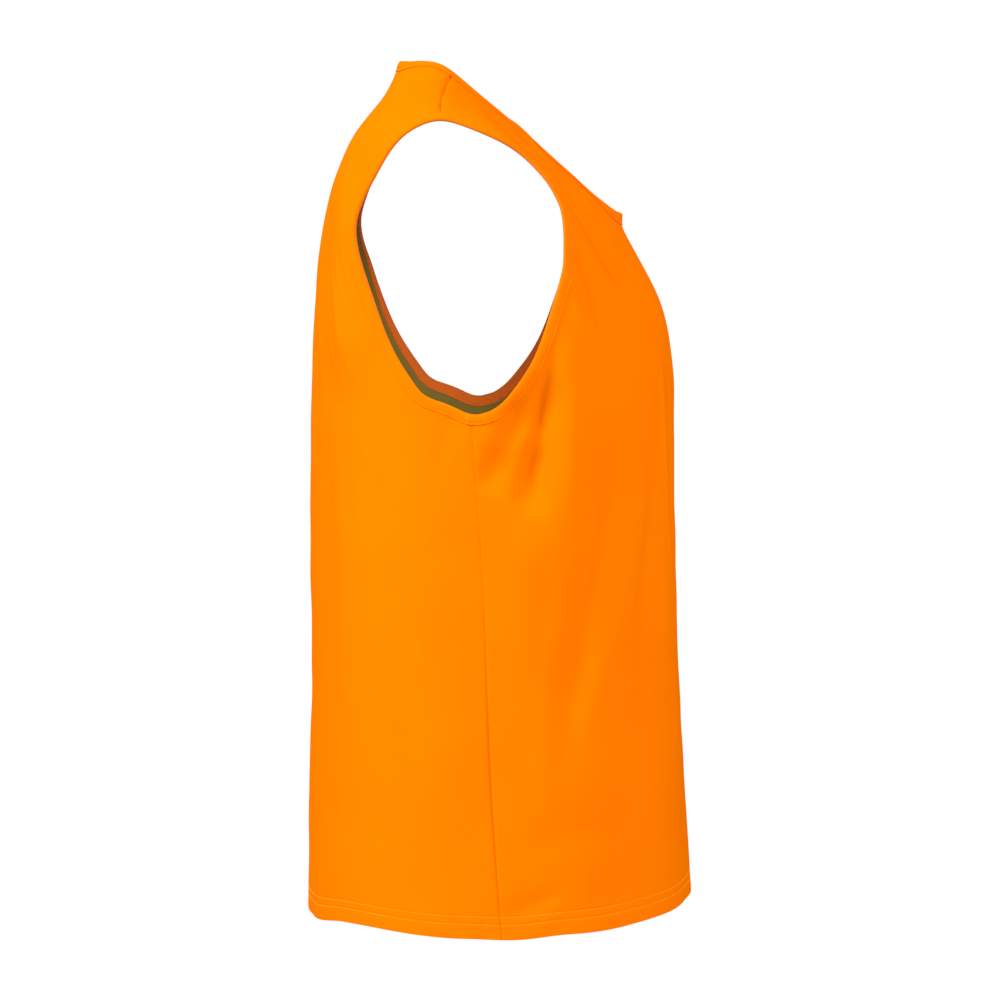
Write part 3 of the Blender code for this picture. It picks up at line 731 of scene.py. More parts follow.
def add_piece(name, mesh, material, node):
    """Link a finished mesh as a piece that stands for a node of the frame."""
    piece = bpy.data.objects.new(name, mesh)
    bpy.context.scene.collection.objects.link(piece)
    mesh.materials.clear()
    mesh.materials.append(material)
    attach(piece, "root")
    if node:
        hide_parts(node)
    return piece


def colour_setting(name, description, default):
    """Return a colour property."""
    return bpy.props.FloatVectorProperty(
        name=name, description=description, default=default, size=3,
        subtype="COLOR", min=0.0, max=1.0)


def size_setting(name, description, default):
    """Return a length property."""
    return bpy.props.FloatProperty(
        name=name, description=description, default=default, min=0.0,
        unit="LENGTH", subtype="DISTANCE", precision=5)


class BibCloth(bpy.types.PropertyGroup):
    """Sizes of the cloth."""

    wall: size_setting("Cloth thickness", "Thickness of one layer of knit", 0.7 * MM)
    band_wall: size_setting("Band thickness", "Thickness of a folded binding", 0.85 * MM)
    wale: size_setting("Wale spacing", "Spacing of the knit's columns", 0.9 * MM)
    steps: bpy.props.IntProperty(
        name="Fineness", description="Fine columns for each rough one", default=9, min=2)


class BibColours(bpy.types.PropertyGroup):
    """Colours of the cloth and thread."""

    outer: colour_setting("Outer", "The outer layer", (1.0, 0.2, 0.0))
    outer_worn: colour_setting("Outer, deeper", "Deeper tone of the outer layer",
                               (1.0, 0.189, 0.0))
    inner: colour_setting("Inner", "The inner layer", (0.34, 0.25, 0.054))
    inner_worn: colour_setting("Inner, deeper", "Deeper tone of the inner layer",
                               (0.27, 0.2, 0.043))
    band: colour_setting("Binding", "The bindings", (1.0, 0.198, 0.0))
    band_worn: colour_setting("Binding, deeper", "Deeper tone of the bindings",
                              (1.0, 0.186, 0.0))
    # The bindings' turned-in side is the same cloth as their outside; its own tone is painted
    # shade for the light inside the armholes.
    band_inside_shade: colour_setting("Binding, inside", "The turned-in side of the bindings",
                                (1.0, 0.2, 0.03))
    thread: colour_setting("Thread", "The hems' stitching", (1.0, 0.48, 0.03))
    band_thread: colour_setting("Binding thread", "The bindings' stitching",
                                (1.0, 0.29, 0.01))
    inner_thread: colour_setting("Inner thread", "The inner hem's stitching",
                                 (0.2, 0.17, 0.05))


class BibStitches(bpy.types.PropertyGroup):
    """Sizes of the stitching."""

    length: size_setting("Stitch length", "Length of one stitch", 1.0 * MM)
    spacing: size_setting("Stitch spacing", "From one stitch to the next", 2.4 * MM)
    width: size_setting("Thread width", "Width of the thread", 1.15 * MM)
    height: size_setting("Thread height", "Height of the thread", 0.4 * MM)


class BibStage(bpy.types.PropertyGroup):
    """The studio."""

    camera_at: bpy.props.FloatVectorProperty(
        name="Camera", description="Where the camera stands", size=3,
        subtype="TRANSLATION", unit="LENGTH", default=(-6.0, -0.076, -0.009))
    camera_aim: bpy.props.FloatVectorProperty(
        name="Aim", description="What the camera looks at", size=3,
        subtype="TRANSLATION", unit="LENGTH", default=(0.0, -0.046, -0.35235))
    view_width: size_setting("View width", "Width seen at the aim", 0.87)
    floor_below: size_setting("Floor depth", "Floor below the shoulders", 1.45)


def linked(tree, kind, **sockets):
    """Return a new node whose inputs are set, or linked where given a socket."""
    node = tree.nodes.new(kind)
    for name, value in sockets.items():
        socket = node.inputs[name.replace("_", " ")]
        if isinstance(value, bpy.types.NodeSocket):
            tree.links.new(value, socket)
        else:
            socket.default_value = value
    return node


def colour_mix(tree, factor, first, second):
    """Return a socket that blends two colours, each a colour or a socket."""
    blend = tree.nodes.new("ShaderNodeMix")
    blend.data_type = "RGBA"
    tree.links.new(factor, blend.inputs["Factor"])
    sockets = [socket for socket in blend.inputs if socket.type == "RGBA"]
    for socket, colour in zip(sockets, (first, second)):
        if isinstance(colour, bpy.types.NodeSocket):
            tree.links.new(colour, socket)
        else:
            socket.default_value = (*colour, 1.0)
    return next(socket for socket in blend.outputs if socket.type == "RGBA")


def scaled_sum(tree, value, factor, rest):
    """Return a socket that gives a value times a factor, plus the rest."""
    node = tree.nodes.new("ShaderNodeMath")
    node.operation = "MULTIPLY_ADD"
    tree.links.new(value, node.inputs[0])
    node.inputs[1].default_value = factor
    tree.links.new(rest, node.inputs[2])
    return node.outputs[0]


def knit_waves(tree, place, across, spacing):
    """Return a socket with the knit's columns or courses, by their spacing."""
    wave = linked(tree, "ShaderNodeTexWave", Vector=place,
                  Scale=FULL_TURN / spacing / 20, Distortion=0.0)
    wave.wave_type = "BANDS"
    wave.bands_direction = across
    return wave.outputs["Fac"]


# The sewn edge of a binding lies in a groove, and its shade there is painted on: the place
# across the band of this painted shade, and its darker tone.
SEWN_EDGE_SHADE_PLACE = (0.6, 1.3)
SEWN_EDGE_SHADE_TONE = (1.0, 0.145, 0.0)


def knit_material(name, colour, deeper, wale, turned=None):
    """Return a fine knit: fine columns and courses, soft mottling and a soft sheen.

    A binding's turned-in side may take a painted shade tone of its own, by its place across
    the band, and its sewn edge a darker painted shade.
    """
    material = bpy.data.materials.new(name)
    material.use_nodes = True
    tree = material.node_tree
    tree.nodes.clear()
    place = tree.nodes.new("ShaderNodeUVMap")
    place.uv_map = "cloth"
    flat = place.outputs["UV"]
    where = tree.nodes.new("ShaderNodeTexCoord").outputs["Object"]
    mottle = linked(tree, "ShaderNodeTexNoise", Vector=where, Scale=14.0, Detail=5.0,
                    Roughness=0.6)
    soft = linked(tree, "ShaderNodeMapRange", Value=mottle.outputs["Fac"],
                  From_Min=0.3, From_Max=0.7)
    fleck = linked(tree, "ShaderNodeTexNoise", Vector=flat, Scale=1100.0, Detail=2.0)
    shade = scaled_sum(tree, fleck.outputs["Fac"], 0.5, soft.outputs["Result"])
    even = linked(tree, "ShaderNodeMapRange", Value=shade, From_Min=0.1, From_Max=1.4)
    tone = colour_mix(tree, even.outputs["Result"], colour, deeper)
    if turned:
        # Painted shade: the turned-in side, the same cloth, takes a tone of its own for the
        # light inside the armholes.
        split = linked(tree, "ShaderNodeSeparateXYZ", Vector=flat)
        side = linked(tree, "ShaderNodeMapRange", Value=split.outputs["Y"],
                      From_Min=BAND_TURN_AT[0] * MM, From_Max=BAND_TURN_AT[1] * MM)
        tone = colour_mix(tree, side.outputs["Result"], tone, turned)
        # Painted shade: the band is darker near its sewn edge, where the groove lies in shade.
        sewn_edge_shade = linked(tree, "ShaderNodeMapRange", Value=split.outputs["Y"],
                      From_Min=SEWN_EDGE_SHADE_PLACE[0] * MM, From_Max=SEWN_EDGE_SHADE_PLACE[1] * MM)
        tone = colour_mix(tree, sewn_edge_shade.outputs["Result"], SEWN_EDGE_SHADE_TONE, tone)

    courses = knit_waves(tree, flat, "Y", wale * 0.8)
    weave = scaled_sum(tree, knit_waves(tree, flat, "X", wale), 0.7, courses)
    height = scaled_sum(tree, fleck.outputs["Fac"], 0.3, weave)
    bump = linked(tree, "ShaderNodeBump", Height=height, Strength=0.1, Distance=0.00005)
    shader = linked(tree, "ShaderNodeBsdfPrincipled", Base_Color=tone,
                    Normal=bump.outputs["Normal"])
    shader.inputs["Roughness"].default_value = 0.75
    shader.inputs["Specular IOR Level"].default_value = 0.0
    shader.inputs["Specular Tint"].default_value = (*colour, 1.0)
    shader.inputs["Sheen Weight"].default_value = 0.05
    shader.inputs["Sheen Roughness"].default_value = 0.4
    shader.inputs["Sheen Tint"].default_value = (*colour, 1.0)
    output = tree.nodes.new("ShaderNodeOutputMaterial")
    tree.links.new(shader.outputs["BSDF"], output.inputs["Surface"])
    return material


def thread_material(name, colour):
    """Return a slightly glossy polyester thread with a fine twist."""
    material = bpy.data.materials.new(name)
    material.use_nodes = True
    tree = material.node_tree
    shader = tree.nodes["Principled BSDF"]
    where = tree.nodes.new("ShaderNodeTexCoord")
    twist = linked(tree, "ShaderNodeTexNoise", Vector=where.outputs["Object"],
                   Scale=2500.0, Detail=1.0)
    ramp = tree.nodes.new("ShaderNodeValToRGB")
    ramp.color_ramp.elements[0].color = (*(0.8 * c for c in colour), 1.0)
    ramp.color_ramp.elements[1].color = (*colour, 1.0)
    tree.links.new(twist.outputs["Fac"], ramp.inputs["Fac"])
    tree.links.new(ramp.outputs["Color"], shader.inputs["Base Color"])
    shader.inputs["Roughness"].default_value = 0.6
    shader.inputs["Specular IOR Level"].default_value = 0.1
    return material


# The hem's edge is rounded over its first rows.
EDGE_ROUNDING = 0.3
EDGE_ROUNDING_ROWS = 1.2

# How many fine rows or columns part a rough one. The outer layer's own is a setting.
OUTER_HEM_STEPS = 18
INNER_STEPS = 6
INNER_HEM_STEPS = 1


def make_panels(layer, top, first_row, hem_run, steps, hem_steps, seams, colours):
    """Make the front and back of one layer."""
    settings = bpy.context.scene.bib_cloth
    wall = settings.wall / MM
    material = knit_material(layer + "_knit", *colours, settings.wale)
    for half in ("front", "back"):
        panel = fine_panel(half, first_row, steps, hem_steps)
        run = panel["run"][:, panel["run"].shape[1] // 2]
        dip = hem_stitch_dip(run - (0.0 if first_row == 0 else INNER_HEM_RUN))
        round_edge = EDGE_ROUNDING * np.exp(-np.arange(len(run)) / EDGE_ROUNDING_ROWS)
        outer = skin_points(panel, top + dip + round_edge, seams)
        doubled = np.where(run < hem_run, 2 * wall, wall) + top
        inner = skin_points(panel, doubled + dip - round_edge, seams)
        mesh = closed_wall(f"{layer}_{half}_cloth", outer, inner, skin_quads(panel),
                           cloth_coordinates(panel))
        add_piece(mesh.name, mesh, material, f"{layer}_{half}")


class BIB_OT_outer_layer(bpy.types.Operator):
    """Make the outer front and back."""

    bl_idname = "bib.outer_layer"
    bl_label = "Outer layer"

    def execute(self, context):
        colour = context.scene.bib_colours
        make_panels("outer", 0.0, 0, HEM_RUN, context.scene.bib_cloth.steps,
                    OUTER_HEM_STEPS, True, (colour.outer, colour.outer_worn))
        return {"FINISHED"}


class BIB_OT_inner_layer(bpy.types.Operator):
    """Make the inner front and back."""

    bl_idname = "bib.inner_layer"
    bl_label = "Inner layer"

    def execute(self, context):
        colour = context.scene.bib_colours
        make_panels("inner", LAYER_START, HEM_LAYOUT_ROWS - 1,
                    INNER_HEM_RUN + INNER_HEM_DEPTH_RUN, INNER_STEPS, INNER_HEM_STEPS,
                    False, (colour.inner, colour.inner_worn))
        return {"FINISHED"}


# The section of a binding, from its sewn edge to its folded edge: shares of its width
# from the fold, and how far each point stands out from the face of the layers.
BAND_SECTION = (
    (1.0, 0.0), (0.99, 0.75), (0.95, 0.9), (0.89, 0.75), (0.815, 0.35), (0.74, 0.7),
    (0.6, 0.85), (0.42, 0.85), (0.24, 0.78), (0.11, 0.55), (0.035, 0.0),
)
BAND_UNDER = (0.85, 0.6, 0.35, 0.15)
BAND_BACK_DEPTH = 2.5
ARMHOLE_BAND_WIDTH = 9.2
INSIDE_WIDTH = 9.4

# How the inside of an armhole binding narrows behind the arm, by its place on the
# armhole's loop.
NARROWED = 0.5
NARROWED_AT = 70
NARROWED_REACH = 26
NECK_BAND_WIDTH = 10.2

# The crinkle of a binding: the lengths of its waves, about how high they reach together
# before they are scaled, its height then, and how far from the fold it is strongest.
CRINKLE_LENGTHS = (5.5, 7.5, 11.0, 17.0, 29.0)
CRINKLE_SUM = 4
CRINKLE_HEIGHT = 0.22
CRINKLE_AT = 5


def band_section(width, inside_width):
    """Return the section of a binding as distances and depths, closed."""
    outside = [(share * width, -stand) for share, stand in BAND_SECTION]
    inside = [(share * inside_width, BAND_BACK_DEPTH + stand) for share, stand in BAND_SECTION]
    fold = [(0.0, 0.5), (0.0, BAND_BACK_DEPTH / 2), (0.0, BAND_BACK_DEPTH - 0.5)]
    under_back = [(share * inside_width, BAND_BACK_DEPTH + 0.1) for share in BAND_UNDER]
    under_front = [(share * width, -0.1) for share in reversed(BAND_UNDER)]
    return outside + fold + inside[::-1] + under_back + under_front


def band_crinkle(length, count, seed):
    """Return the fine crosswise crinkle along a binding, uneven, in millimetres."""
    random = np.random.default_rng(seed)
    at = np.arange(count) / count * FULL_TURN
    crinkle = np.zeros(count)
    for wave_length in CRINKLE_LENGTHS:
        beats = max(1, round(length / wave_length))
        crinkle += np.sin(at * beats + random.uniform(0, FULL_TURN)) * random.uniform(0.5, 1)
    return crinkle / CRINKLE_SUM


def band_mesh(name, line, width, seed):
    """Return a binding's mesh from a function that gives a closed line of places.

    The line, at a distance from the edge, on the outside or inside, is a list of turns
    and one of runs.
    """
    section = band_section(width, INSIDE_WIDTH)
    turn, run = line(0.0)
    edge = form(turn, run)
    steps = np.linalg.norm(np.roll(edge, -1, axis=0) - edge, axis=1)
    crinkle = band_crinkle(steps.sum(), len(turn), seed)
    rings = []
    for distance, depth in section:
        inside = depth > BAND_BACK_DEPTH / 2
        turn, run = line(distance, inside)
        puffed = np.clip(1 - abs(distance - CRINKLE_AT) / CRINKLE_AT, 0, 1)
        puffed *= -1 if inside else 1
        rings.append(cloth(turn, run, depth - CRINKLE_HEIGHT * crinkle * puffed))
    count = len(turn)
    points = np.vstack(rings)
    here = np.arange(len(section))[:, None] * count
    after = (np.arange(len(section))[:, None] + 1) % len(section) * count
    step = np.arange(count)
    onward = (step + 1) % count
    quads = np.stack([here + step, here + onward, after + onward, after + step], -1)
    quads = quads.reshape(-1, 4)
    along = np.cumsum(np.r_[0, steps])[:-1]
    lengths = [math.dist(a, b) for a, b in zip(section, section[1:])]
    across = np.cumsum(np.r_[0, lengths])
    places = np.stack(np.broadcast_arrays(along[None, :], across[:, None]), -1)
    volume = signed_volume(points, quads)
    if volume < 0:
        quads = quads[:, ::-1]
    return faces_mesh(name, points, quads, places.reshape(-1, 2))


def signed_volume(points, quads):
    """Return the volume that facets hold, negative where they face inwards."""
    a, b, c, d = (points[quads[:, i]] for i in range(4))
    return (np.cross(a, b) * c).sum() / 6 + (np.cross(a, c) * d).sum() / 6


FINE_LOOP = 4

# Where a binding turns in, by its place across the band from its outer sewn edge; past it the
# binding takes its painted shade tone.
BAND_TURN_AT = (10.2, 11.6)


def armhole_places(side, distance, inside=False):
    """Return a closed fine line of places around one armhole."""
    if distance > 0:
        narrowed = NARROWED * hump(np.arange(len(ARMHOLE[0])), NARROWED_AT, NARROWED_REACH)
        share = 1 - narrowed[:, None] if inside else 1
        turn, run = inset_loop(*ARMHOLE, distance * share)
    else:
        turn, run = ARMHOLE
    values = np.column_stack([turn, run])
    looped = np.vstack([values[-LOOP_OVERLAP:], values, values[:LOOP_OVERLAP + 1]])
    knots = np.arange(len(looped), dtype=float) - LOOP_OVERLAP
    at = np.arange(0, len(values), 1 / FINE_LOOP)
    fine = natural_spline(knots, looped, at)
    return side * fine[:, 0], fine[:, 1]


NECK_STATIONS = 360


def neck_places(distance, inside=False):
    """Return a closed fine line of places around the neck, the same on both sides."""
    turn = np.arange(NECK_STATIONS) / NECK_STATIONS * FULL_TURN
    run = neck_run(turn, distance) if distance > 0 else np.ones_like(turn)
    return turn, run


class BIB_OT_bindings(bpy.types.Operator):
    """Make the neck binding and both armhole bindings."""

    bl_idname = "bib.bindings"
    bl_label = "Bindings"

    def execute(self, context):
        colour = context.scene.bib_colours
        wale = context.scene.bib_cloth.wale
        material = knit_material("binding_knit", colour.band, colour.band_worn, wale,
                                 colour.band_inside_shade)
        mesh = band_mesh("neck_band", neck_places, NECK_BAND_WIDTH, 3)
        meshes = {"neck_binding": mesh}
        for name, side, seed in (("right", -1, 5), ("left", 1, 8)):
            def line(distance, inside=False, side=side):
                return armhole_places(side, distance, inside)
            mesh = band_mesh("armhole_band_" + name, line, ARMHOLE_BAND_WIDTH, seed)
            meshes["armhole_binding_" + name] = mesh
        for node, mesh in meshes.items():
            add_piece(mesh.name, mesh, material, node)
        return {"FINISHED"}


# How far stitches stand out from the cloth, or from the layers under a binding, and how
# uneven they are in size.
OUTER_STAND = 0.16
INNER_STAND = 0.12
BAND_STAND = 0.45
STITCH_UNEVENNESS = 0.15
STITCH_SEED = 12

# How wide the bindings' thread is beside the hems'.
FINE_THREAD_SCALE = 0.55
HEM_STITCH_POINTS = 361


def stitch_tree():
    """Return the node tree that lays stitches along a path, standing on its normals."""
    tree = bpy.data.node_groups.new("stitch_row", "GeometryNodeTree")
    face = tree.interface
    face.new_socket("Path", in_out="INPUT", socket_type="NodeSocketGeometry")
    for name in ("Stitch Length", "Stitch Spacing", "Thread Width", "Thread Height"):
        face.new_socket(name, in_out="INPUT", socket_type="NodeSocketFloat")
    face.new_socket("Unevenness", in_out="INPUT", socket_type="NodeSocketFloat")
    face.new_socket("Thread", in_out="INPUT", socket_type="NodeSocketMaterial")
    face.new_socket("Stitches", in_out="OUTPUT", socket_type="NodeSocketGeometry")
    given = tree.nodes.new("NodeGroupInput")
    result = tree.nodes.new("NodeGroupOutput")
    given_out = given.outputs

    curve = linked(tree, "GeometryNodeMeshToCurve", Mesh=given_out["Path"])
    even = linked(tree, "GeometryNodeResampleCurve", Curve=curve.outputs["Curve"])
    even.mode = "LENGTH"
    tree.links.new(given_out["Stitch Spacing"], even.inputs["Length"])
    tangent = tree.nodes.new("GeometryNodeInputTangent")
    upward = tree.nodes.new("GeometryNodeInputNamedAttribute")
    upward.data_type = "FLOAT_VECTOR"
    upward.inputs["Name"].default_value = "upward"
    up_value = next(s for s in upward.outputs if s.enabled and s.type == "VECTOR")
    along = linked(tree, "FunctionNodeAlignRotationToVector",
                   Vector=tangent.outputs["Tangent"])
    along.axis = "X"
    upright = linked(tree, "FunctionNodeAlignRotationToVector",
                     Rotation=along.outputs["Rotation"], Vector=up_value)
    upright.axis = "Z"
    upright.pivot_axis = "X"

    bead = tree.nodes.new("GeometryNodeMeshUVSphere")
    bead.inputs["Segments"].default_value = 6
    bead.inputs["Rings"].default_value = 5
    bead.inputs["Radius"].default_value = 0.5
    turned = linked(tree, "GeometryNodeTransform", Geometry=bead.outputs["Mesh"])
    turned.inputs["Rotation"].default_value = (0.0, math.pi / 2, 0.0)
    scale = tree.nodes.new("ShaderNodeCombineXYZ")
    tree.links.new(given_out["Stitch Length"], scale.inputs["X"])
    tree.links.new(given_out["Thread Width"], scale.inputs["Y"])
    tree.links.new(given_out["Thread Height"], scale.inputs["Z"])
    sized = linked(tree, "GeometryNodeTransform", Geometry=turned.outputs["Geometry"],
                   Scale=scale.outputs["Vector"])

    random = tree.nodes.new("FunctionNodeRandomValue")
    random.data_type = "FLOAT"
    random.inputs["Seed"].default_value = STITCH_SEED
    least = linked(tree, "ShaderNodeMath")
    least.operation = "SUBTRACT"
    least.inputs[0].default_value = 1.0
    tree.links.new(given_out["Unevenness"], least.inputs[1])
    floats = [s for s in random.inputs if s.enabled and s.type == "VALUE"]
    tree.links.new(least.outputs[0], floats[0])
    floats[1].default_value = 1.0
    random_out = next(s for s in random.outputs if s.enabled and s.type == "VALUE")

    laid = linked(tree, "GeometryNodeInstanceOnPoints", Points=even.outputs["Curve"],
                  Instance=sized.outputs["Geometry"], Rotation=upright.outputs["Rotation"],
                  Scale=random_out)
    real = linked(tree, "GeometryNodeRealizeInstances", Geometry=laid.outputs["Instances"])
    smooth = linked(tree, "GeometryNodeSetShadeSmooth", Geometry=real.outputs["Geometry"])
    dyed = linked(tree, "GeometryNodeSetMaterial", Geometry=smooth.outputs["Geometry"],
                  Material=given_out["Thread"])
    tree.links.new(dyed.outputs["Geometry"], result.inputs["Stitches"])
    return tree


def stitch_path(lines):
    """Return a mesh of paths, each with its points' normals; a line may be closed."""
    points, ups, edges = [], [], []
    first = 0
    for line, up, closed in lines:
        count = len(line)
        points.append(line * MM)
        ups.append(up)
        edges += [(first + i, first + i + 1) for i in range(count - 1)]
        if closed:
            edges.append((first + count - 1, first))
        first += count
    mesh = bpy.data.meshes.new("stitch_path")
    mesh.from_pydata(np.vstack(points).tolist(), edges, [])
    upward = mesh.attributes.new("upward", "FLOAT_VECTOR", "POINT")
    upward.data.foreach_set("vector", np.vstack(ups).astype(np.float32).ravel())
    return mesh


def add_stitches(name, lines, tree, thread, length_scale=1.0, width_scale=1.0):
    """Make the stitches along some lines as one plain mesh."""
    settings = bpy.context.scene.bib_stitches
    path = bpy.data.objects.new(name + "_path", stitch_path(lines))
    bpy.context.scene.collection.objects.link(path)
    modifier = path.modifiers.new("Stitches", "NODES")
    modifier.node_group = tree
    named = {item.name: item.identifier for item in tree.interface.items_tree
             if item.in_out == "INPUT"}
    modifier[named["Stitch Length"]] = settings.length * length_scale
    modifier[named["Stitch Spacing"]] = settings.spacing * length_scale
    modifier[named["Thread Width"]] = settings.width * width_scale
    modifier[named["Thread Height"]] = settings.height
    modifier[named["Unevenness"]] = STITCH_UNEVENNESS
    modifier[named["Thread"]] = thread
    graph = bpy.context.evaluated_depsgraph_get()
    mesh = bpy.data.meshes.new_from_object(path.evaluated_get(graph))
    path.modifiers.remove(modifier)
    bpy.data.objects.remove(path, do_unlink=True)
    if not mesh.polygons:
        raise RuntimeError(f"no stitches were made for {name}")
    mesh.name = name
    return add_piece(name, mesh, thread, None)


def stitch_line(turn, run, depth, inside=False, seams=False, closed=True):
    """Return a line on the cloth with its normals, and whether it is closed."""
    up = normals(turn, run)
    return cloth(turn, run, depth, seams), (-up if inside else up), closed


# Each armhole binding's own join, sewn down just behind the side seam.
TACK_LINES = (2.2, 3.8)
TACK_ENDS = (0.6, 8.4)
TACK_POINTS = 12
TACK_SCALE = 0.5


def tack_lines(side, along):
    """Return the outside and inside lines of stitches across an armhole binding."""
    distances = np.linspace(*TACK_ENDS, TACK_POINTS)
    turns, runs = [], []
    for distance in distances:
        turn, run = armhole_places(side, distance)
        edge = form(turn, run)
        step = np.linalg.norm(edge[0] - edge[-1])
        turns.append(turn[-round(along / step)])
        runs.append(run[-round(along / step)])
    turn, run = np.array(turns), np.array(runs)
    up = normals(turn, run)
    stand = np.interp(distances / ARMHOLE_BAND_WIDTH,
                      [share for share, _ in reversed(BAND_SECTION)],
                      [stand for _, stand in reversed(BAND_SECTION)])
    return [(cloth(turn, run, -stand), up, False),
            (cloth(turn, run, BAND_BACK_DEPTH + stand), -up, False)]


class BIB_OT_stitching(bpy.types.Operator):
    """Make the hems' cover stitching and the bindings' stitching."""

    bl_idname = "bib.stitching"
    bl_label = "Stitching"

    def execute(self, context):
        colour = context.scene.bib_colours
        wall = context.scene.bib_cloth.wall / MM
        tree = stitch_tree()
        thread = thread_material("orange_thread", colour.thread)
        band_thread = thread_material("band_thread", colour.band_thread)
        inner_thread = thread_material("olive_thread", colour.inner_thread)
        for half, centre in (("front", 0.0), ("back", BACK_TURN)):
            across = centre + np.linspace(-SIDE_TURN, SIDE_TURN, HEM_STITCH_POINTS)
            outer_hem, inner_hem = [], []
            for height in HEM_STITCHES:
                run = np.full_like(across, height * HEM_RUN_BY_MM)
                outer_hem.append(stitch_line(across, run, STITCH_DIP - OUTER_STAND,
                                             seams=True, closed=False))
                run = run + INNER_HEM_RUN
                depth = LAYER_START + 2 * wall + STITCH_DIP + INNER_STAND
                inner_hem.append(stitch_line(across, run, depth, inside=True,
                                             closed=False))
            add_stitches(f"outer_{half}_stitches", outer_hem, tree, thread)
            add_stitches(f"inner_{half}_stitches", inner_hem, tree, inner_thread)

        bands = {"neck_stitches": (neck_places, NECK_BAND_WIDTH)}
        for name, side in (("right", -1), ("left", 1)):
            def places(distance, inside=False, side=side):
                return armhole_places(side, distance, inside)
            bands["armhole_stitches_" + name] = (places, ARMHOLE_BAND_WIDTH)
        for name, (places, width) in bands.items():
            outside = places(width - BAND_STITCH_BEHIND)
            inside = places(INSIDE_WIDTH - BAND_STITCH_BEHIND, True)
            lines = [stitch_line(*outside, -BAND_STAND),
                     stitch_line(*inside, BAND_BACK_DEPTH + BAND_STAND, inside=True)]
            add_stitches(name, lines, tree, band_thread,
                         width_scale=FINE_THREAD_SCALE)
        for name, side in (("right", -1), ("left", 1)):
            lines = [line for along in TACK_LINES for line in tack_lines(side, along)]
            add_stitches("tack_" + name, lines, tree, thread, TACK_SCALE,
                         FINE_THREAD_SCALE)
        return {"FINISHED"}


class BIB_OT_sheets(bpy.types.Operator):
    """Finish at once, without saying or making anything."""

    bl_idname = "bib.sheets"
    bl_label = "Cut sizes"

    def execute(self, context):
        return {"FINISHED"}


def area_lamp(name, at, aim, size, power, colour=(1.0, 1.0, 1.0)):
    """Add a soft square lamp that points at a place."""
    lamp = bpy.data.lights.new(name, "AREA")
    lamp.size = size
    lamp.energy = power
    lamp.color = colour
    holder = bpy.data.objects.new(name, lamp)
    bpy.context.scene.collection.objects.link(holder)
    holder.location = at
    way = Vector(aim) - Vector(at)
    holder.rotation_euler = way.to_track_quat("-Z", "Y").to_euler()


WORLD_LIGHT = 0.27


def studio_world():
    """Set a world that looks white and lights softly."""
    world = bpy.data.worlds.new("studio")
    bpy.context.scene.world = world
    world.use_nodes = True
    tree = world.node_tree
    tree.nodes.clear()
    rays = tree.nodes.new("ShaderNodeLightPath")
    seen = linked(tree, "ShaderNodeMath")
    seen.operation = "MAXIMUM"
    tree.links.new(rays.outputs["Is Camera Ray"], seen.inputs[0])
    tree.links.new(rays.outputs["Is Glossy Ray"], seen.inputs[1])
    seen_too = linked(tree, "ShaderNodeMath")
    seen_too.operation = "MAXIMUM"
    tree.links.new(seen.outputs[0], seen_too.inputs[0])
    tree.links.new(rays.outputs["Is Transmission Ray"], seen_too.inputs[1])
    lighting = linked(tree, "ShaderNodeBackground", Color=(1.0, 1.0, 1.0, 1.0),
                      Strength=WORLD_LIGHT)
    shown = linked(tree, "ShaderNodeBackground", Color=(1.0, 1.0, 1.0, 1.0), Strength=1.0)
    either = linked(tree, "ShaderNodeMixShader")
    tree.links.new(seen_too.outputs[0], either.inputs[0])
    tree.links.new(lighting.outputs["Background"], either.inputs[1])
    tree.links.new(shown.outputs["Background"], either.inputs[2])
    output = tree.nodes.new("ShaderNodeOutputWorld")
    tree.links.new(either.outputs["Shader"], output.inputs["Surface"])


FLOOR_RADIUS = 1.25
FLOOR_POINTS = 96

# Where the floor starts and ends to fade, in shares of its radius.
FLOOR_FADE = (0.45, 0.98)


def studio_floor(below):
    """Add a pale round floor that fades out at its rim."""
    around = np.arange(FLOOR_POINTS) / FLOOR_POINTS * FULL_TURN
    rim = np.column_stack([np.cos(around), np.sin(around), np.zeros(FLOOR_POINTS)])
    points = rim * FLOOR_RADIUS - (0, 0, below)
    mesh = bpy.data.meshes.new("floor")
    mesh.from_pydata(points.tolist(), [], [list(range(FLOOR_POINTS))])
    floor = bpy.data.objects.new("floor", mesh)
    bpy.context.scene.collection.objects.link(floor)
    material = bpy.data.materials.new("pale_floor")
    material.use_nodes = True
    tree = material.node_tree
    tree.nodes.clear()
    where = tree.nodes.new("ShaderNodeTexCoord")
    flat = linked(tree, "ShaderNodeVectorMath", Vector=where.outputs["Object"])
    flat.operation = "MULTIPLY"
    flat.inputs[1].default_value = (1 / FLOOR_RADIUS, 1 / FLOOR_RADIUS, 0.0)
    out = linked(tree, "ShaderNodeVectorMath", Vector=flat.outputs["Vector"])
    out.operation = "LENGTH"
    fade = linked(tree, "ShaderNodeMapRange", Value=out.outputs["Value"],
                  From_Min=FLOOR_FADE[0], From_Max=FLOOR_FADE[1])
    fade.interpolation_type = "SMOOTHSTEP"
    pale = linked(tree, "ShaderNodeBsdfDiffuse", Color=(0.93, 0.93, 0.93, 1.0))
    clear = tree.nodes.new("ShaderNodeBsdfTransparent")
    both = linked(tree, "ShaderNodeMixShader")
    tree.links.new(fade.outputs["Result"], both.inputs[0])
    tree.links.new(pale.outputs["BSDF"], both.inputs[1])
    tree.links.new(clear.outputs["BSDF"], both.inputs[2])
    output = tree.nodes.new("ShaderNodeOutputMaterial")
    tree.links.new(both.outputs["Shader"], output.inputs["Surface"])
    mesh.materials.append(material)


SOFTBOXES = {
    "key": ((-1.6, 2.25, 1.6), 0.9, 118),
    "side_fill": ((-4.2, -0.4, 0.9), 1.4, 83),
    "front_fill": ((-0.5, -3.05, 1.3), 0.9, 63),
    "far_side": ((2.8, 0.6, 1.2), 1.6, 70),
}


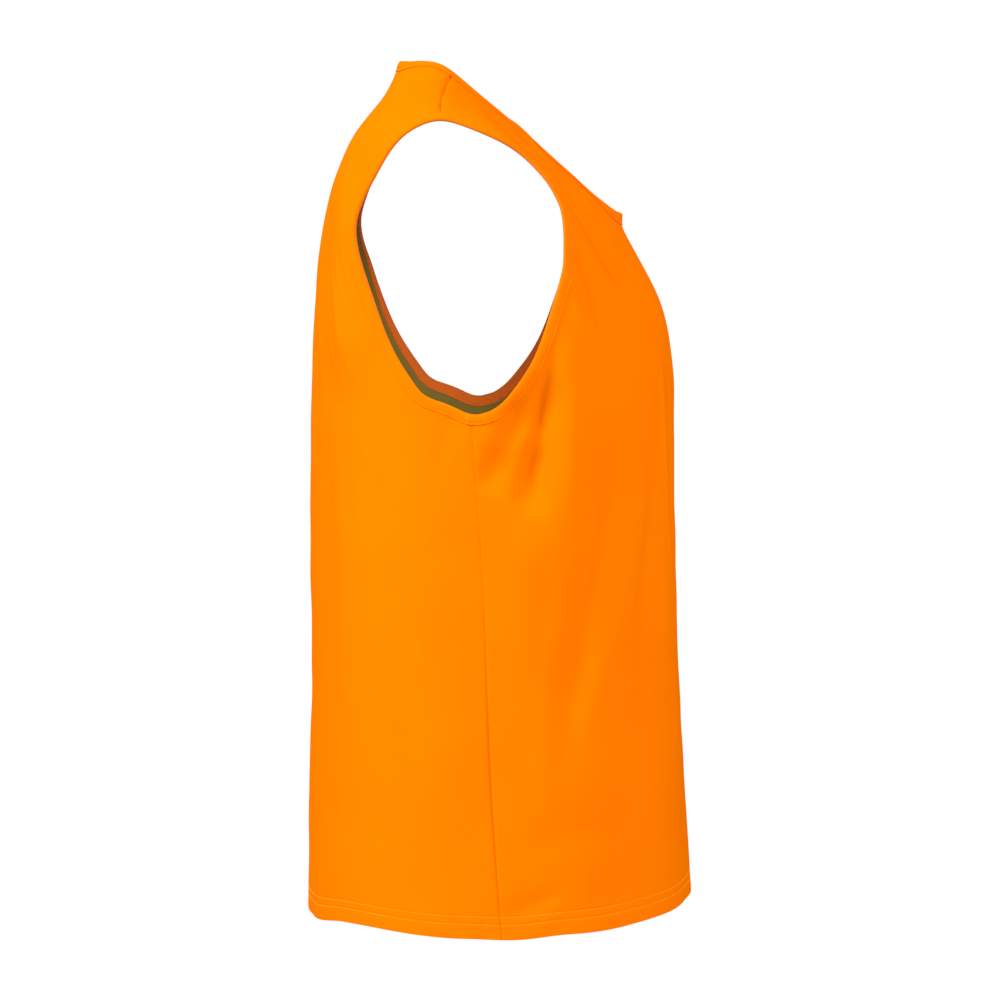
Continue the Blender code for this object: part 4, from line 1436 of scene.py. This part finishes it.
class BIB_OT_stage(bpy.types.Operator):
    """Make the floor, lamps, world and camera."""

    bl_idname = "bib.stage"
    bl_label = "Stage"

    def execute(self, context):
        settings = context.scene.bib_stage
        scene = context.scene
        aim = tuple(settings.camera_aim)
        studio_world()
        studio_floor(settings.floor_below)
        for name, (at, size, power) in SOFTBOXES.items():
            area_lamp(name, at, aim, size, power)
        camera = bpy.data.cameras.new("camera")
        holder = bpy.data.objects.new("camera", camera)
        scene.collection.objects.link(holder)
        holder.location = settings.camera_at
        way = settings.camera_aim - settings.camera_at
        holder.rotation_euler = way.to_track_quat("-Z", "Y").to_euler()
        camera.lens = camera.sensor_width * way.length / settings.view_width
        camera.clip_end = 40.0
        scene.camera = holder
        scene.view_settings.view_transform = "Standard"
        return {"FINISHED"}


class BIB_PT_pieces(bpy.types.Panel):
    """List what can be made."""

    bl_label = "Training bib"
    bl_idname = "BIB_PT_pieces"
    bl_space_type = "VIEW_3D"
    bl_region_type = "UI"
    bl_category = "Bib"

    def draw(self, context):
        scene = context.scene
        for group in (scene.bib_cloth, scene.bib_stitches, scene.bib_colours):
            for name in group.__annotations__:
                self.layout.prop(group, name)
        for operator in OPERATORS:
            self.layout.operator(operator.bl_idname)


GROUPS = {"bib_cloth": BibCloth, "bib_colours": BibColours,
          "bib_stitches": BibStitches, "bib_stage": BibStage}
OPERATORS = (BIB_OT_outer_layer, BIB_OT_inner_layer, BIB_OT_bindings,
             BIB_OT_stitching, BIB_OT_sheets, BIB_OT_stage)


def register():
    for name, group in GROUPS.items():
        bpy.utils.register_class(group)
        setattr(bpy.types.Scene, name, bpy.props.PointerProperty(type=group))
    for kind in (*OPERATORS, BIB_PT_pieces):
        bpy.utils.register_class(kind)


def unregister():
    for kind in (BIB_PT_pieces, *reversed(OPERATORS)):
        bpy.utils.unregister_class(kind)
    for name, group in reversed(GROUPS.items()):
        delattr(bpy.types.Scene, name)
        bpy.utils.unregister_class(group)


def main():
    register()
    bpy.ops.bib.outer_layer()
    bpy.ops.bib.inner_layer()
    bpy.ops.bib.bindings()
    bpy.ops.bib.stitching()
    bpy.ops.bib.sheets()
    bpy.ops.bib.stage()


if __name__ == "__main__":
    main()
